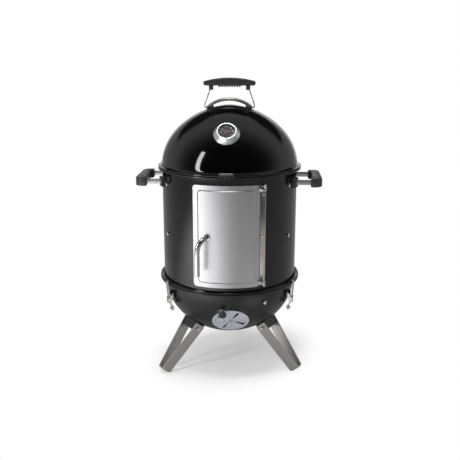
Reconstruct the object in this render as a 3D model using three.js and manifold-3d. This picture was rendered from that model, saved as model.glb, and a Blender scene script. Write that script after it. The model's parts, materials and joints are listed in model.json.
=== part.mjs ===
// Vertical water smoker: fire bowl on three bent legs, barrel with a side door, domed lid.
// Millimetres, +Z up, the door faces -Y, the origin is on the floor under the barrel's axis.
// Azimuths are degrees from the front, positive towards +X.
import * as THREE from 'three';
import { mergeVertices } from 'three/addons/utils/BufferGeometryUtils.js';
import Module from 'manifold-3d';

const wasm = await Module();
wasm.setup();

// Sheet metal, seats and running clearances
const sheet = 1.2;
const gap = 0.3;
const around = 36;
const roundSides = 24;
const boltSides = 8;

// Shells
const barrelRadius = 190;
const barrelHeight = 317.4;
const bowlRadius = 187;
const bowlDepth = 160.5;
const bowlBottom = 98;
const lipReach = 201.5;
const beadRadius = 2.6;
const flareRadius = 4;
const domeHeight = 163;
const domeBaseRise = 7;
const domeSharpness = 1.16;
const lidFlareHeight = 16;
const bowlTurn = 4;
const latchAzimuths = { left: -60, right: 60, rear: 180 };

// Levels that follow from the shells
const bowlEqual = bowlBottom + bowlDepth;
const bowlLip = bowlEqual + flareRadius + 1 + sheet;
const barrelBase = bowlLip + gap;
const barrelTop = barrelBase + barrelHeight;
const lidBase = barrelTop + gap;
const domeBase = lidBase + domeBaseRise;
const beadCentre = lipReach - beadRadius;
const beadJoin = THREE.MathUtils.radToDeg(Math.asin((beadRadius - sheet) / beadRadius));

// Legs
const legWidth = 30;
const legThickness = 4;
const legTilt = THREE.MathUtils.degToRad(38.5);
const legBendRadius = 7;
const footRadius = 209;
const footFlat = 24;
const footGrind = 2.4;
const armSpread = 75;
const armLength = 163;
const legBoltHeight = 150;
const legBoltRadius = 3;
const bossHeight = 23;
const bossWidth = 24;

// Vents
const bowlVentRadius = 51;
const bowlVentHeight = 170;
const bowlVentOpen = 12;
const lidVentRadius = 36;
const lidVentHeight = 680;
const lidVentAzimuth = 180;
const lidVentOpen = 0;
const ventPlate = 1.5;
const ventHoles = 4;
const rivetRadius = 3;

// Fire and water
const wireThickness = 4;
const grateSpacing = 22;
const grateRadius = 183;
const charcoalRadius = 170;
const charcoalHeight = 229;
const charcoalAzimuths = { front: 30, back: 150, left: 270 };
const lowerLevel = 405;
const upperLevel = 544;
const supportAzimuths = { left: -60, right: 60, rear: 180 };
const supportWidth = 14;
const panRadius = 171;
const panDepth = 72;
const panDrop = 8;
const supportBoltRadius = 3;
const charcoalShank = 24;

// Door
const doorWidth = 176;
const doorHeight = 277;
const doorMiddle = 420;
const doorCorner = 8;
const doorSeat = 1.4;
const panelMargin = 13.5;
const panelRise = 3;
const openingMargin = 11;
const hingeAzimuth = 30.6;
const hingeReach = 8.5;
const hingeStripWidth = 14;
const hingePinRadius = 2.2;
const hingeEar = 7;
const leverAzimuth = -15.4;
const leverRadius = 7.3;
const leverBore = 5.4;
const leverReach = 32.5;
const leverDrop = 98;
const leverSide = 14;
const leverShaft = 3.6;
const camLength = 20;
const camDepth = 7;
const shaftEnd = 4;

// Side handles
const sideHeight = 547;
const sideGrip = 24;
const sideReach = 257.5;
const sideHalfSpan = 66;
const sideElbow = 19;
const strapHeight = 14;
const strapThickness = 3;
const bracketHeight = 26;
const bracketWidth = 28;
const bracketDepth = 10;

// Lid handle
const shieldRadius = 100;
const shieldTop = 771;
const shieldEnd = 747.3;
const shieldWidth = 26;
const shieldFlange = 8;
const footDepth = 28;
const footOuter = 62;
const footInner = 45;
const wireRadius = 1.6;
const wirePivot = 743.6;
const wireEnd = 59;
const wireFoot = 69;
const wireTopHalf = 51;
const gripBottom = 803.5;
const gripHalfLength = 72;
const gripRise = 21;
const gripEndHeight = 13;
const gripDepth = 26;
const postDrop = 12;
const ridgeCount = 9;
const ridgePitch = 7;
const ridgeDepth = 3.9;
const ridgeHalf = 2.1;

// Thermometer
const dialAzimuth = 0;
const dialHeight = 687;
const bezelRadius = 34.5;
const bezelFront = 25.5;
const bezelRise = 14;
const faceRadius = 23;
const stemRadius = 2.5;
const stemLength = 70;
const needleLength = 17;
const needleTurn = -132;

// Latches
const latchPivotOut = 7;
const latchPivotDrop = 33;
const latchPivotHeight = barrelBase - latchPivotDrop;
const latchLink = 14;
const latchLeverLength = 46;
const latchLeverLean = 10;
const latchHookWidth = 12;
const latchSheet = 2;

const finish = (color, roughness, metalness) => new THREE.MeshStandardMaterial({ color, roughness, metalness });
const materials = {
  enamel: finish(0x101114, 0.12, 0.0),
  bowlEnamel: finish(0x2c2e33, 0.3, 0.0),
  stainless: finish(0xb9b9ba, 0.35, 1.0),
  legSteel: finish(0xa8a59f, 0.4, 1.0),
  plastic: finish(0x17181a, 0.5, 0.0),
  blackSteel: finish(0x141416, 0.45, 0.6),
  wire: finish(0xc4c4c4, 0.3, 1.0),
  ventMetal: finish(0xa7a9b4, 0.45, 0.8),
  dialFace: finish(0x23262b, 0.5, 0.0),
  needleRed: finish(0xd0202c, 0.45, 0.0),
  lens: finish(0xe8eef0, 0.05, 0.0),
};

const radians = THREE.MathUtils.degToRad;
const smoker = new THREE.Group();
const bowlGroup = new THREE.Group();
bowlGroup.rotation.z = radians(bowlTurn);
smoker.add(bowlGroup);

// Closed, outward facing geometry with shared corners
function tidy(geometry) {
  const bare = geometry.clone();
  bare.deleteAttribute('normal');
  bare.deleteAttribute('uv');
  const merged = mergeVertices(bare, 1e-4);
  const index = merged.index.array;
  const place = merged.attributes.position;
  const corners = [];
  const [a, b, c] = [new THREE.Vector3(), new THREE.Vector3(), new THREE.Vector3()];
  let volume = 0;
  for (let i = 0; i < index.length; i += 3) {
    const [p, q, r] = [index[i], index[i + 1], index[i + 2]];
    if (p !== q && q !== r && r !== p) {
      a.fromBufferAttribute(place, p);
      b.fromBufferAttribute(place, q);
      c.fromBufferAttribute(place, r);
      volume += a.dot(b.cross(c));
      corners.push(p, q, r);
    }
  }
  if (volume < 0) corners.reverse();
  merged.setIndex(corners);
  return merged;
}

// Cut and joined bodies have positions only, and share their corners already
function solid(geometry) {
  const closed = geometry.hasAttribute('normal') ? tidy(geometry) : geometry;
  const vertProperties = new Float32Array(closed.attributes.position.array);
  const triVerts = new Uint32Array(closed.index.array);
  return new wasm.Manifold(new wasm.Mesh({ numProp: 3, vertProperties, triVerts }));
}

function geometryOf(manifold) {
  const mesh = manifold.getMesh();
  const geometry = new THREE.BufferGeometry();
  geometry.setAttribute('position', new THREE.BufferAttribute(mesh.vertProperties, 3));
  geometry.setIndex(new THREE.BufferAttribute(mesh.triVerts, 1));
  return geometry;
}

const join = (first, ...others) =>
  geometryOf(others.reduce((whole, piece) => whole.add(solid(piece)), solid(first)));
const cut = (first, ...tools) =>
  geometryOf(tools.reduce((whole, tool) => whole.subtract(solid(tool)), solid(first)));
const common = (first, second) => geometryOf(solid(first).intersect(solid(second)));

function piece(name, geometry, material, parent = smoker) {
  const closed = tidy(geometry);
  closed.computeVertexNormals();
  const mesh = new THREE.Mesh(closed, material);
  mesh.name = name;
  parent.add(mesh);
  return mesh;
}

// A turned body about +Z from [radius, height] pairs
function turned(profile, segments = around) {
  const points = profile.map(([radius, height]) => new THREE.Vector2(radius, height));
  return new THREE.LatheGeometry(points, segments).rotateX(Math.PI / 2);
}

const ring = (inner, outer, low, high, segments = around) =>
  turned([[inner, low], [outer, low], [outer, high], [inner, high], [inner, low]], segments);

const rod = (radius, low, high, sides = boltSides) =>
  new THREE.CylinderGeometry(radius, radius, high - low, sides).rotateX(Math.PI / 2).translate(0, 0, (low + high) / 2);

function block(x0, x1, y0, y1, z0, z1) {
  const box = new THREE.BoxGeometry(x1 - x0, y1 - y0, z1 - z0);
  return box.translate((x0 + x1) / 2, (y0 + y1) / 2, (z0 + z1) / 2);
}

// An outline of [x, z] pairs, pushed through from y0 to y1
function slab(outline, y0, y1) {
  const shape = new THREE.Shape(outline.map(([x, z]) => new THREE.Vector2(x, z)));
  const plate = new THREE.ExtrudeGeometry(shape, { depth: y1 - y0, bevelEnabled: false });
  return plate.rotateX(Math.PI / 2).translate(0, y1, 0);
}

// An outline of [reach, height] pairs in the radial plane, centred on the front line
function fin(outline, width) {
  const plate = slab(outline, -width / 2, width / 2);
  return plate.rotateZ(-Math.PI / 2);
}

function arc(cx, cz, radius, from, to, steps) {
  const points = [];
  for (let i = 0; i <= steps; i += 1) {
    const angle = radians(from + ((to - from) * i) / steps);
    points.push([cx + radius * Math.cos(angle), cz + radius * Math.sin(angle)]);
  }
  return points;
}

function roundedBox(width, low, high, corner, steps = 4) {
  const x = width / 2 - corner;
  return [
    ...arc(x, high - corner, corner, 0, 90, steps),
    ...arc(-x, high - corner, corner, 90, 180, steps),
    ...arc(-x, low + corner, corner, 180, 270, steps),
    ...arc(x, low + corner, corner, 270, 360, steps),
  ];
}

function offsetLine(line, distance) {
  return line.map(([r, z], i) => {
    const [r0, z0] = line[Math.max(i - 1, 0)];
    const [r1, z1] = line[Math.min(i + 1, line.length - 1)];
    const length = Math.hypot(r1 - r0, z1 - z0);
    const reach = r === 0 ? 0 : Math.max(r - ((z1 - z0) / length) * distance, 0);
    return [reach, z + ((r1 - r0) / length) * distance];
  });
}

// A tube or bar along points that lie in one plane, with the given section
function swept(points, section, steps) {
  const curve = new THREE.CatmullRomCurve3(points, false, 'centripetal');
  const shape = new THREE.Shape(section);
  return new THREE.ExtrudeGeometry(shape, { steps, bevelEnabled: false, extrudePath: curve });
}

function roundSection(radius, sides) {
  const section = [];
  for (let i = 0; i < sides; i += 1) {
    const angle = (2 * Math.PI * (i + 0.5)) / sides;
    section.push(new THREE.Vector2(radius * Math.cos(angle), radius * Math.sin(angle)));
  }
  return section;
}

// Bowl and lid surfaces
function bowlLine(inset, steps = 8) {
  const line = [];
  for (let i = 0; i <= steps; i += 1) {
    const angle = (Math.PI / 2) * (1 - i / steps);
    const reach = (bowlRadius - inset) * Math.cos(angle);
    line.push([i === 0 ? 0 : reach, bowlEqual - (bowlDepth - inset) * Math.sin(angle)]);
  }
  return line;
}

const bowlReach = (height) => bowlRadius * Math.sqrt(1 - ((bowlEqual - height) / bowlDepth) ** 2);

function domeLine(steps = 9) {
  const line = [];
  const start = Math.asin((lidFlareHeight - domeBaseRise) / domeHeight);
  for (let i = 0; i <= steps; i += 1) {
    const angle = start + (Math.PI / 2 - start) * (i / steps);
    const reach = barrelRadius * Math.cos(angle) ** domeSharpness;
    line.push([i === steps ? 0 : reach, domeBase + domeHeight * Math.sin(angle)]);
  }
  return line;
}

function domeReach(height) {
  const angle = Math.asin(Math.min((height - domeBase) / domeHeight, 1));
  return barrelRadius * Math.cos(angle) ** domeSharpness;
}

const bowlCore = turned([...bowlLine(sheet / 2), [0, bowlEqual]]);
const bowlOutside = turned([...bowlLine(-gap), [0, bowlEqual]]);
const domeOutside = turned([[0, domeBase], ...offsetLine(domeLine(), -gap)]);

// Tilt of a surface above the horizontal, from its reach a little below and above a height
function surfaceTilt(reachAt, height) {
  const step = 2;
  return Math.atan2(reachAt(height - step) - reachAt(height + step), 2 * step);
}

// Puts a piece that is modelled about the origin, facing +Z, on a shell at an azimuth
function onShell(geometry, reachAt, height, azimuth) {
  const tilt = surfaceTilt(reachAt, height);
  geometry.rotateX(Math.PI / 2 - tilt);
  geometry.translate(0, -reachAt(height), height);
  return geometry.rotateZ(radians(azimuth));
}

function ventSector(inner, outer, degrees, turn, low, high) {
  const outline = [...arc(0, 0, outer, -degrees / 2, degrees / 2, 3), ...arc(0, 0, inner, degrees / 2, -degrees / 2, 1)];
  const shape = new THREE.Shape(outline.map(([x, y]) => new THREE.Vector2(x, y)));
  const plug = new THREE.ExtrudeGeometry(shape, { depth: high - low, bevelEnabled: false });
  return plug.translate(0, 0, low).rotateZ(radians(turn));
}

// A round turning vent: flat seat in the shell, plate with the same holes, knob and rivet
const vents = {
  bowl: { radius: bowlVentRadius, open: bowlVentOpen, sink: 6.5, knob: 115, reachAt: bowlReach, height: bowlVentHeight, azimuth: 0 },
  lid: { radius: lidVentRadius, open: lidVentOpen, sink: 3, knob: 90, reachAt: domeReach, height: lidVentHeight, azimuth: lidVentAzimuth },
};

const ventHoleDegrees = 180 / ventHoles - 2;

function ventHolesAt(vent, turn, low, high) {
  const holes = [];
  for (let i = 0; i < ventHoles; i += 1) {
    const angle = turn + (360 / ventHoles) * (i + 0.5);
    holes.push(ventSector(vent.radius * 0.26, vent.radius * 0.84, ventHoleDegrees, angle, low, high));
  }
  return holes;
}

function ventPlace(geometry, vent) {
  return onShell(geometry.translate(0, 0, -vent.sink), vent.reachAt, vent.height, vent.azimuth);
}

function withVent(shell, vent) {
  const seatRadius = vent.radius + 3;
  const clear = join(rod(seatRadius, 0, 30, roundSides), rod(seatRadius - sheet / 2, -12, 30, roundSides));
  const skirt = ring(seatRadius - sheet, seatRadius, -7, 0, roundSides);
  const seat = join(rod(seatRadius, -sheet, 0, roundSides), skirt);
  const holes = ventHolesAt(vent, 0, -15, 5);
  const open = cut(shell, ventPlace(clear, vent));
  const whole = join(open, ventPlace(seat, vent));
  const bore = rod(rivetRadius + gap, -15, 5);
  return cut(whole, ...holes.map((hole) => ventPlace(hole, vent)), ventPlace(bore, vent));
}

function ventPieces(name, vent, parent) {
  const turn = 180 / ventHoles - vent.open;
  const tabAngle = radians(vent.knob);
  const knobAt = vent.radius + 3;
  const tab = block(-8, 8, vent.radius * 0.7, vent.radius + 12, gap, gap + ventPlate).rotateZ(tabAngle - Math.PI / 2);
  const disc = join(rod(vent.radius, gap, gap + ventPlate, roundSides), tab);
  const bore = rod(rivetRadius + gap, -1, 4);
  const plate = cut(disc, bore, ...ventHolesAt(vent, turn, -1, 4));
  const base = gap + ventPlate + gap;
  const rivet = join(rod(rivetRadius, -sheet - 3, base), rod(rivetRadius * 2.2, base, base + 1.6, 12), rod(rivetRadius * 1.8, -sheet - 4, -sheet - gap));
  const knob = join(rod(4, base, base + 7), rod(11, base + 6, base + 15, 16)).translate(knobAt * Math.cos(tabAngle), knobAt * Math.sin(tabAngle), 0);
  piece(`${name}_vent_plate`, ventPlace(plate, vent), materials.ventMetal, parent);
  piece(`${name}_vent_knob`, ventPlace(knob, vent), materials.plastic, parent);
  piece(`${name}_vent_rivet`, ventPlace(rivet, vent), materials.stainless, parent);
}

// Leg: the V lies in a tilted plane, u along the tangent, v up the slope, width across the plane
const legOrigin = new THREE.Vector3(0, -(footRadius + (legWidth / 2) * Math.cos(legTilt)), (legWidth / 2) * Math.sin(legTilt) - footGrind);

function inLegPlane(outline, halfWidth) {
  const plate = slab(outline, -halfWidth, halfWidth);
  return plate.rotateX(-legTilt).translate(legOrigin.x, legOrigin.y, legOrigin.z);
}

const armLean = Math.atan2((armSpread - footFlat) / 2, armLength);
const armAt = (v) => footFlat / 2 + v * Math.tan(armLean);

function legOutline(offset) {
  const bend = legBendRadius - offset;
  const turnDegrees = 90 - THREE.MathUtils.radToDeg(armLean);
  const corner = legBendRadius * Math.tan(radians(turnDegrees / 2));
  const cx = footFlat / 2 - corner;
  const side = arc(cx, legBendRadius, bend, -90, turnDegrees - 90, 3);
  const top = [armAt(armLength) - offset / Math.cos(armLean), armLength];
  return [...side, top];
}

function legGeometry() {
  const outer = legOutline(0);
  const inner = legOutline(legThickness);
  const mirrored = (line) => line.map(([u, v]) => [-u, v]);
  const outline = [...mirrored(outer).reverse(), ...outer, ...inner.reverse(), ...mirrored(inner).reverse()];
  const strap = inLegPlane(outline, legWidth / 2);
  const floor = block(-150, 150, -400, 0, -40, 0);
  return cut(strap, floor, bowlOutside, legBolt(gap));
}

function legBolt(grow) {
  const reach = armAt(legBoltHeight) + 6;
  const shank = rod(legBoltRadius + grow, -reach, reach).rotateY(Math.PI / 2);
  shank.translate(0, 0, legBoltHeight);
  return shank.rotateX(-legTilt).translate(legOrigin.x, legOrigin.y, legOrigin.z);
}

function legBoltGeometry() {
  const face = armAt(legBoltHeight) + gap + (legBoltRadius + 3) * Math.tan(armLean);
  const head = rod(legBoltRadius + 2.4, face, face + 4, 6).rotateY(Math.PI / 2).translate(0, 0, legBoltHeight);
  const nut = rod(legBoltRadius + 2.4, -face - 5, -face, 6).rotateY(Math.PI / 2).translate(0, 0, legBoltHeight);
  const placed = [head, nut].map((end) => end.rotateX(-legTilt).translate(legOrigin.x, legOrigin.y, legOrigin.z));
  return join(legBolt(0), ...placed);
}

function legBoss(inset) {
  const low = armLength - bossHeight + inset;
  const high = armLength + 40;
  const edge = (v) => armAt(v) - (legThickness + gap + inset) / Math.cos(armLean);
  const outline = [[-edge(low), low], [edge(low), low], [edge(high), high], [-edge(high), high]];
  return inLegPlane(outline, bossWidth / 2 - inset);
}

const legAzimuths = { left: -60, right: 60, rear: 180 };

function fireBowl() {
  const flare = flareRadius + 1;
  const outerFlare = arc(bowlRadius + flare, bowlEqual, flare, 180, 90, 2).slice(1);
  const innerFlare = arc(bowlRadius + flare, bowlEqual, flare + sheet, 90, 180, 2).slice(0, -1);
  const bead = arc(beadCentre, bowlLip - beadRadius, beadRadius, 180 - beadJoin, 450, 6);
  const profile = [...bowlLine(0), ...outerFlare, ...bead, ...innerFlare, ...bowlLine(sheet).reverse()];
  let bowl = turned(profile);
  for (const azimuth of Object.values(legAzimuths)) {
    const turn = radians(azimuth);
    const boss = cut(legBoss(0), legBoss(sheet + 0.3), bowlCore).rotateZ(turn);
    const hollow = legBoss(sheet + 0.3).rotateZ(turn);
    bowl = cut(join(cut(bowl, hollow), boss), legBolt(gap).rotateZ(turn));
  }
  bowl = withVent(bowl, vents.bowl);
  for (const azimuth of Object.values(charcoalAzimuths)) {
    bowl = cut(bowl, charcoalBolt(gap).rotateZ(radians(azimuth)));
  }
  return bowl;
}

// Grates: an edge wire and parallel bars
function grate(radius, height) {
  const half = wireThickness / 2;
  let whole = ring(radius - wireThickness, radius, height, height + wireThickness);
  const count = Math.floor((radius - wireThickness) / grateSpacing);
  for (let i = -count; i <= count; i += 1) {
    const x = i * grateSpacing;
    const y = Math.sqrt((radius - half) ** 2 - x * x);
    whole = join(whole, block(x - half + 0.2, x + half - 0.2, -y + 1, y - 1, height + 0.3, height + wireThickness - 0.3));
  }
  return whole;
}

// A bolt that points at the axis, on the front line
const radialRod = (radius, height, inner, outer, sides = boltSides) =>
  rod(radius, inner, outer, sides).rotateX(Math.PI / 2).translate(0, 0, height);

const charcoalWall = bowlReach(charcoalHeight);
const charcoalBolt = (grow) =>
  radialRod(supportBoltRadius + grow, charcoalHeight, charcoalWall - charcoalShank, charcoalWall + 2);

function charcoalSupport() {
  const head = radialRod(supportBoltRadius + 2.2, charcoalHeight, charcoalWall + 1, charcoalWall + 5, 6);
  return join(charcoalBolt(0), head);
}

// Barrel supports: a bolted plate with one ledge, or with a lower ledge for the pan too
function support(level, ledges) {
  const back = barrelRadius - sheet - gap;
  const face = back - 2;
  const outline = [[back + 2, level - 20], [back + 2, level + 18], [face, level + 18]];
  let reach = face;
  for (const ledge of ledges) {
    outline.push([reach, ledge.top], [ledge.reach, ledge.top]);
    reach = ledge.reach;
  }
  const under = ledges[ledges.length - 1].top - 2;
  outline.push([reach, under], [face, under], [face, level - 20]);
  const inside = turned([[0, level - 40], [back, level - 40], [back, level + 40], [0, level + 40]]);
  const bolt = radialRod(supportBoltRadius, level, face, barrelRadius + 2);
  const head = radialRod(supportBoltRadius + 2.2, level, barrelRadius + gap + 0.2, barrelRadius + 4, 6);
  return join(common(fin(outline, supportWidth), inside), bolt, head);
}

const supports = {
  lower: {
    level: lowerLevel,
    ledges: [{ reach: panRadius + 3, top: lowerLevel - gap }, { reach: panRadius - 9, top: lowerLevel - panDrop - gap }],
  },
  upper: { level: upperLevel, ledges: [{ reach: grateRadius - 10, top: upperLevel - gap }] },
};

function waterPan() {
  const rim = lowerLevel - panDrop;
  const line = [[0, rim - panDepth], [panRadius - 48, rim - panDepth], [panRadius - 24, rim - panDepth + 16], [panRadius - 14, rim], [panRadius, rim]];
  return turned([...line, ...offsetLine(line, sheet).reverse()]);
}

// Barrel with an outward bead at each end
const doorLow = doorMiddle - doorHeight / 2;
const doorHigh = doorMiddle + doorHeight / 2;
const openingWidth = doorWidth - 2 * openingMargin;
const openingOutline = roundedBox(openingWidth, doorLow + openingMargin, doorHigh - openingMargin, doorCorner);

function barrelGeometry() {
  const centre = barrelRadius + flareRadius;
  const low = barrelBase + sheet + flareRadius;
  const high = barrelTop - sheet - flareRadius;
  const profile = [
    ...arc(centre, low, flareRadius + sheet, 180, 270, 2),
    ...arc(beadCentre, barrelBase + beadRadius, beadRadius, 270, 540 + beadJoin, 6),
    ...arc(centre, low, flareRadius, 270, 180, 2),
    ...arc(centre, high, flareRadius, 180, 90, 2),
    ...arc(beadCentre, barrelTop - beadRadius, beadRadius, 180 - beadJoin, 450, 6),
    ...arc(centre, high, flareRadius + sheet, 90, 180, 2),
  ];
  const holes = Object.values(supports).flatMap(({ level }) =>
    Object.values(supportAzimuths).map((azimuth) =>
      radialRod(supportBoltRadius + gap, level, barrelRadius - 5, barrelRadius + 5).rotateZ(radians(azimuth))));
  return cut(turned([...profile, profile[0]]), slab(openingOutline, -barrelRadius - 20, -100), ...holes);
}

// Door, its hinge and its lever
const doorInner = barrelRadius + doorSeat;
const doorOuter = doorInner + sheet;
const panelOuter = doorOuter + panelRise;
const hingeReachOut = barrelRadius + hingeReach;
const hingeLow = doorLow + 1;
const hingeHigh = doorHigh - 1;

const throughFront = (outline) => slab(outline, -barrelRadius - 30, 0);

function leverFrame(geometry) {
  return geometry.translate(0, -panelOuter, doorMiddle).rotateZ(radians(leverAzimuth));
}

function hingePlan(outline, low, high) {
  const shape = new THREE.Shape(outline.map(([x, reach]) => new THREE.Vector2(x, -reach)));
  const plate = new THREE.ExtrudeGeometry(shape, { depth: high - low, bevelEnabled: false });
  return plate.translate(0, 0, low).rotateZ(radians(hingeAzimuth));
}

const hingeRod = (radius, low, high, sides = boltSides) =>
  rod(radius, low, high, sides).translate(0, -hingeReachOut, 0).rotateZ(radians(hingeAzimuth));

const lugLevels = [
  [hingeLow + hingeEar + gap, hingeLow + 2 * hingeEar],
  [hingeHigh - 2 * hingeEar, hingeHigh - hingeEar - gap],
];
const earLevels = [[hingeLow, hingeLow + hingeEar], [hingeHigh - hingeEar, hingeHigh]];
const eye = hingePinRadius + 2;
const doorEdge = barrelRadius * Math.sin(radians(hingeAzimuth) - Math.asin(doorWidth / 2 / doorOuter));

function doorPanel() {
  const panelWidth = doorWidth - 2 * panelMargin;
  const plateOutline = roundedBox(doorWidth, doorLow, doorHigh, doorCorner);
  const raisedOutline = roundedBox(panelWidth, doorLow + panelMargin, doorHigh - panelMargin, doorCorner);
  const pocketOutline = roundedBox(panelWidth - 2 * sheet, doorLow + panelMargin + sheet, doorHigh - panelMargin - sheet, doorCorner - sheet);
  const plate = common(ring(doorInner, doorOuter, doorLow, doorHigh), throughFront(plateOutline));
  const raised = common(ring(doorInner, panelOuter, doorLow, doorHigh), throughFront(raisedOutline));
  const pocket = common(ring(doorInner - 2, panelOuter - sheet, doorLow, doorHigh), throughFront(pocketOutline));
  const lugOutline = [
    [-doorEdge - 4, doorInner - 0.6], [-doorEdge + 1, doorInner - 0.6], [-doorEdge + 1, hingeReachOut - eye],
    [eye, hingeReachOut - eye], [eye, hingeReachOut + eye], [-doorEdge - 4, hingeReachOut + eye - 5],
  ];
  const lugs = lugLevels.map(([low, high]) => hingePlan(lugOutline, low, high));
  const shaftHole = leverFrame(rod(leverShaft + gap, -15, 15).rotateX(Math.PI / 2));
  return cut(join(cut(join(plate, raised), pocket), ...lugs), hingeRod(hingePinRadius + 0.2, doorLow - 5, doorHigh + 5), shaftHole);
}

function hingeStrip() {
  const half = hingeStripWidth / 2;
  const outline = [[-half, 0], [half, 0], [half, barrelRadius + 30], [-half, barrelRadius + 30]];
  const strip = common(ring(barrelRadius + gap, barrelRadius + 2, hingeLow, hingeHigh), hingePlan(outline, hingeLow, hingeHigh));
  const earOutline = [[-eye, barrelRadius + 1], [eye, barrelRadius + 1], [eye, hingeReachOut + eye], [-eye, hingeReachOut + eye]];
  const ears = earLevels.map(([low, high]) => hingePlan(earOutline, low, high));
  return cut(join(strip, ...ears), hingeRod(hingePinRadius + 0.2, doorLow - 5, doorHigh + 5));
}

function hingePin(low, high) {
  return join(hingeRod(hingePinRadius, low, high), hingeRod(hingePinRadius + 1.6, high, high + 2, 8));
}

function doorLever() {
  const bend = [[0, 2, 0], [-0.5, 9, 0], [-3.5, 18, -2.5], [-8, 26, -9], [-12, leverReach - 1.5, -19]];
  const handle = [-34, -52, -leverDrop].map((z) => [-leverSide, leverReach, z]);
  const path = [...bend, ...handle];
  const tube = swept(path.map(([x, out, z]) => new THREE.Vector3(x, -out, z)), roundSection(leverRadius, 8), 18);
  const bore = rod(leverBore, -leverDrop - 1, -leverDrop + 30).translate(-leverSide, -leverReach, 0);
  const collar = rod(leverRadius + 3, gap, 4, 16).rotateX(Math.PI / 2);
  const shaft = rod(leverShaft, -camDepth - shaftEnd, 8).rotateX(Math.PI / 2);
  return leverFrame(cut(join(tube, collar, shaft), bore));
}

function doorCam() {
  const tongue = block(-camLength, 7, camDepth, camDepth + 3, -7, 7);
  return leverFrame(cut(tongue, rod(leverShaft + gap, -camDepth - 10, 0).rotateX(Math.PI / 2)));
}

// Side handle on the +X side: a bent strap through a moulded grip, two brackets
const plan = (outline, low, high) => {
  const shape = new THREE.Shape(outline.map(([x, y]) => new THREE.Vector2(x, y)));
  return new THREE.ExtrudeGeometry(shape, { depth: high - low, bevelEnabled: false }).translate(0, 0, low);
};

function sideStrap(grow) {
  const start = barrelRadius * Math.cos(Math.asin(sideHalfSpan / barrelRadius)) + 3;
  const end = sideReach - sideGrip / 2;
  const half = strapThickness / 2 + grow;
  const outline = [
    [start, -sideHalfSpan - half], [end + half, -sideHalfSpan - half], [end + half, sideHalfSpan + half], [start, sideHalfSpan + half],
    [start, sideHalfSpan - half], [end - half, sideHalfSpan - half], [end - half, -sideHalfSpan + half], [start, -sideHalfSpan + half],
  ];
  return plan(outline, sideHeight - strapHeight / 2 - grow, sideHeight + strapHeight / 2 + grow);
}

function sideGripBody() {
  const inner = sideReach - sideGrip;
  const end = sideReach - sideGrip - sideElbow / 2.6;
  const outerHalf = sideHalfSpan + sideGrip / 2;
  const innerHalf = sideHalfSpan - sideGrip / 2;
  const corner = sideGrip * 0.85;
  const chamfer = 4;
  const outline = [
    [end, -outerHalf], ...arc(sideReach - corner, -outerHalf + corner, corner, 270, 360, 3),
    ...arc(sideReach - corner, outerHalf - corner, corner, 0, 90, 3), [end, outerHalf],
    [end, innerHalf], [inner, innerHalf - 5], [inner, -innerHalf + 5], [end, -innerHalf],
  ];
  const shape = new THREE.Shape(outline.map(([x, y]) => new THREE.Vector2(x, y)));
  const options = { depth: sideGrip - 2 * chamfer, bevelThickness: chamfer, bevelSize: chamfer, bevelOffset: -chamfer, bevelSegments: 2 };
  const body = new THREE.ExtrudeGeometry(shape, options).translate(0, 0, sideHeight - sideGrip / 2 + chamfer);
  return cut(body, sideStrap(gap));
}

function sideBracket(front) {
  const azimuth = 90 - front * THREE.MathUtils.radToDeg(Math.asin(sideHalfSpan / barrelRadius));
  const half = bracketWidth / 2;
  const body = block(-half, half, -barrelRadius - bracketDepth, -barrelRadius + 4, sideHeight - bracketHeight / 2, sideHeight + bracketHeight / 2);
  const wall = rod(barrelRadius + gap, sideHeight - 40, sideHeight + 40, around).rotateZ(Math.PI / 2);
  return cut(body.rotateZ(radians(azimuth)), wall, sideStrap(gap));
}

// Lid
function lidGeometry() {
  const flareTop = lidBase + lidFlareHeight;
  const across = beadCentre - barrelRadius;
  const down = lidFlareHeight - 2 * beadRadius;
  const flare = (grow, from, to) => arc(0, 0, 1, from, to, 3).map(([c, t]) => [beadCentre + (across + grow) * c, flareTop + (down + grow) * t]);
  const dome = domeLine();
  const profile = [
    ...arc(beadCentre, lidBase + beadRadius, beadRadius, -180 - beadJoin, 90, 6).slice(0, -1),
    ...flare(0, 270, 180).slice(0, -1),
    ...dome,
    ...offsetLine(dome, sheet).reverse().slice(0, -1),
    ...flare(sheet, 180, 262),
  ];
  const stemHole = dialPlace(rod(stemRadius + gap, -20, 20));
  return cut(withVent(turned([...profile, profile[0]]), vents.lid), stemHole);
}

const dialPlace = (geometry) => onShell(geometry, domeReach, dialHeight, dialAzimuth);

const shieldCentre = shieldTop - shieldRadius;
const aboutY = (geometry) => geometry.rotateX(Math.PI / 2).translate(0, 0, shieldCentre);

function heatShield() {
  const half = shieldWidth / 2;
  const low = shieldRadius - shieldFlange;
  const under = shieldRadius - sheet;
  const profile = [
    [shieldRadius, -half], [shieldRadius, half], [low, half], [low, half - sheet],
    [under, half - sheet], [under, -half + sheet], [low, -half + sheet], [low, -half], [shieldRadius, -half],
  ];
  return common(aboutY(turned(profile, 48)), block(-150, 150, -40, 40, shieldEnd, shieldTop + 10));
}

function handleFoot(side) {
  const tongue = shieldWidth / 2 - sheet - gap;
  const upper = common(
    block(footInner, footOuter, -tongue, tongue, wirePivot - 10, shieldTop),
    aboutY(rod(shieldRadius - sheet - gap - 0.3, -30, 30, 48)),
  );
  const lower = block(footInner, footOuter, -footDepth / 2, footDepth / 2, wirePivot - 40, wirePivot + 3);
  const pivotHole = rod(wireRadius + gap, wireEnd - gap, footOuter + 5).rotateY(Math.PI / 2).translate(0, 0, wirePivot);
  const foot = cut(join(lower, upper), domeOutside, pivotHole);
  return side < 0 ? foot.rotateZ(Math.PI) : foot;
}

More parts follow.
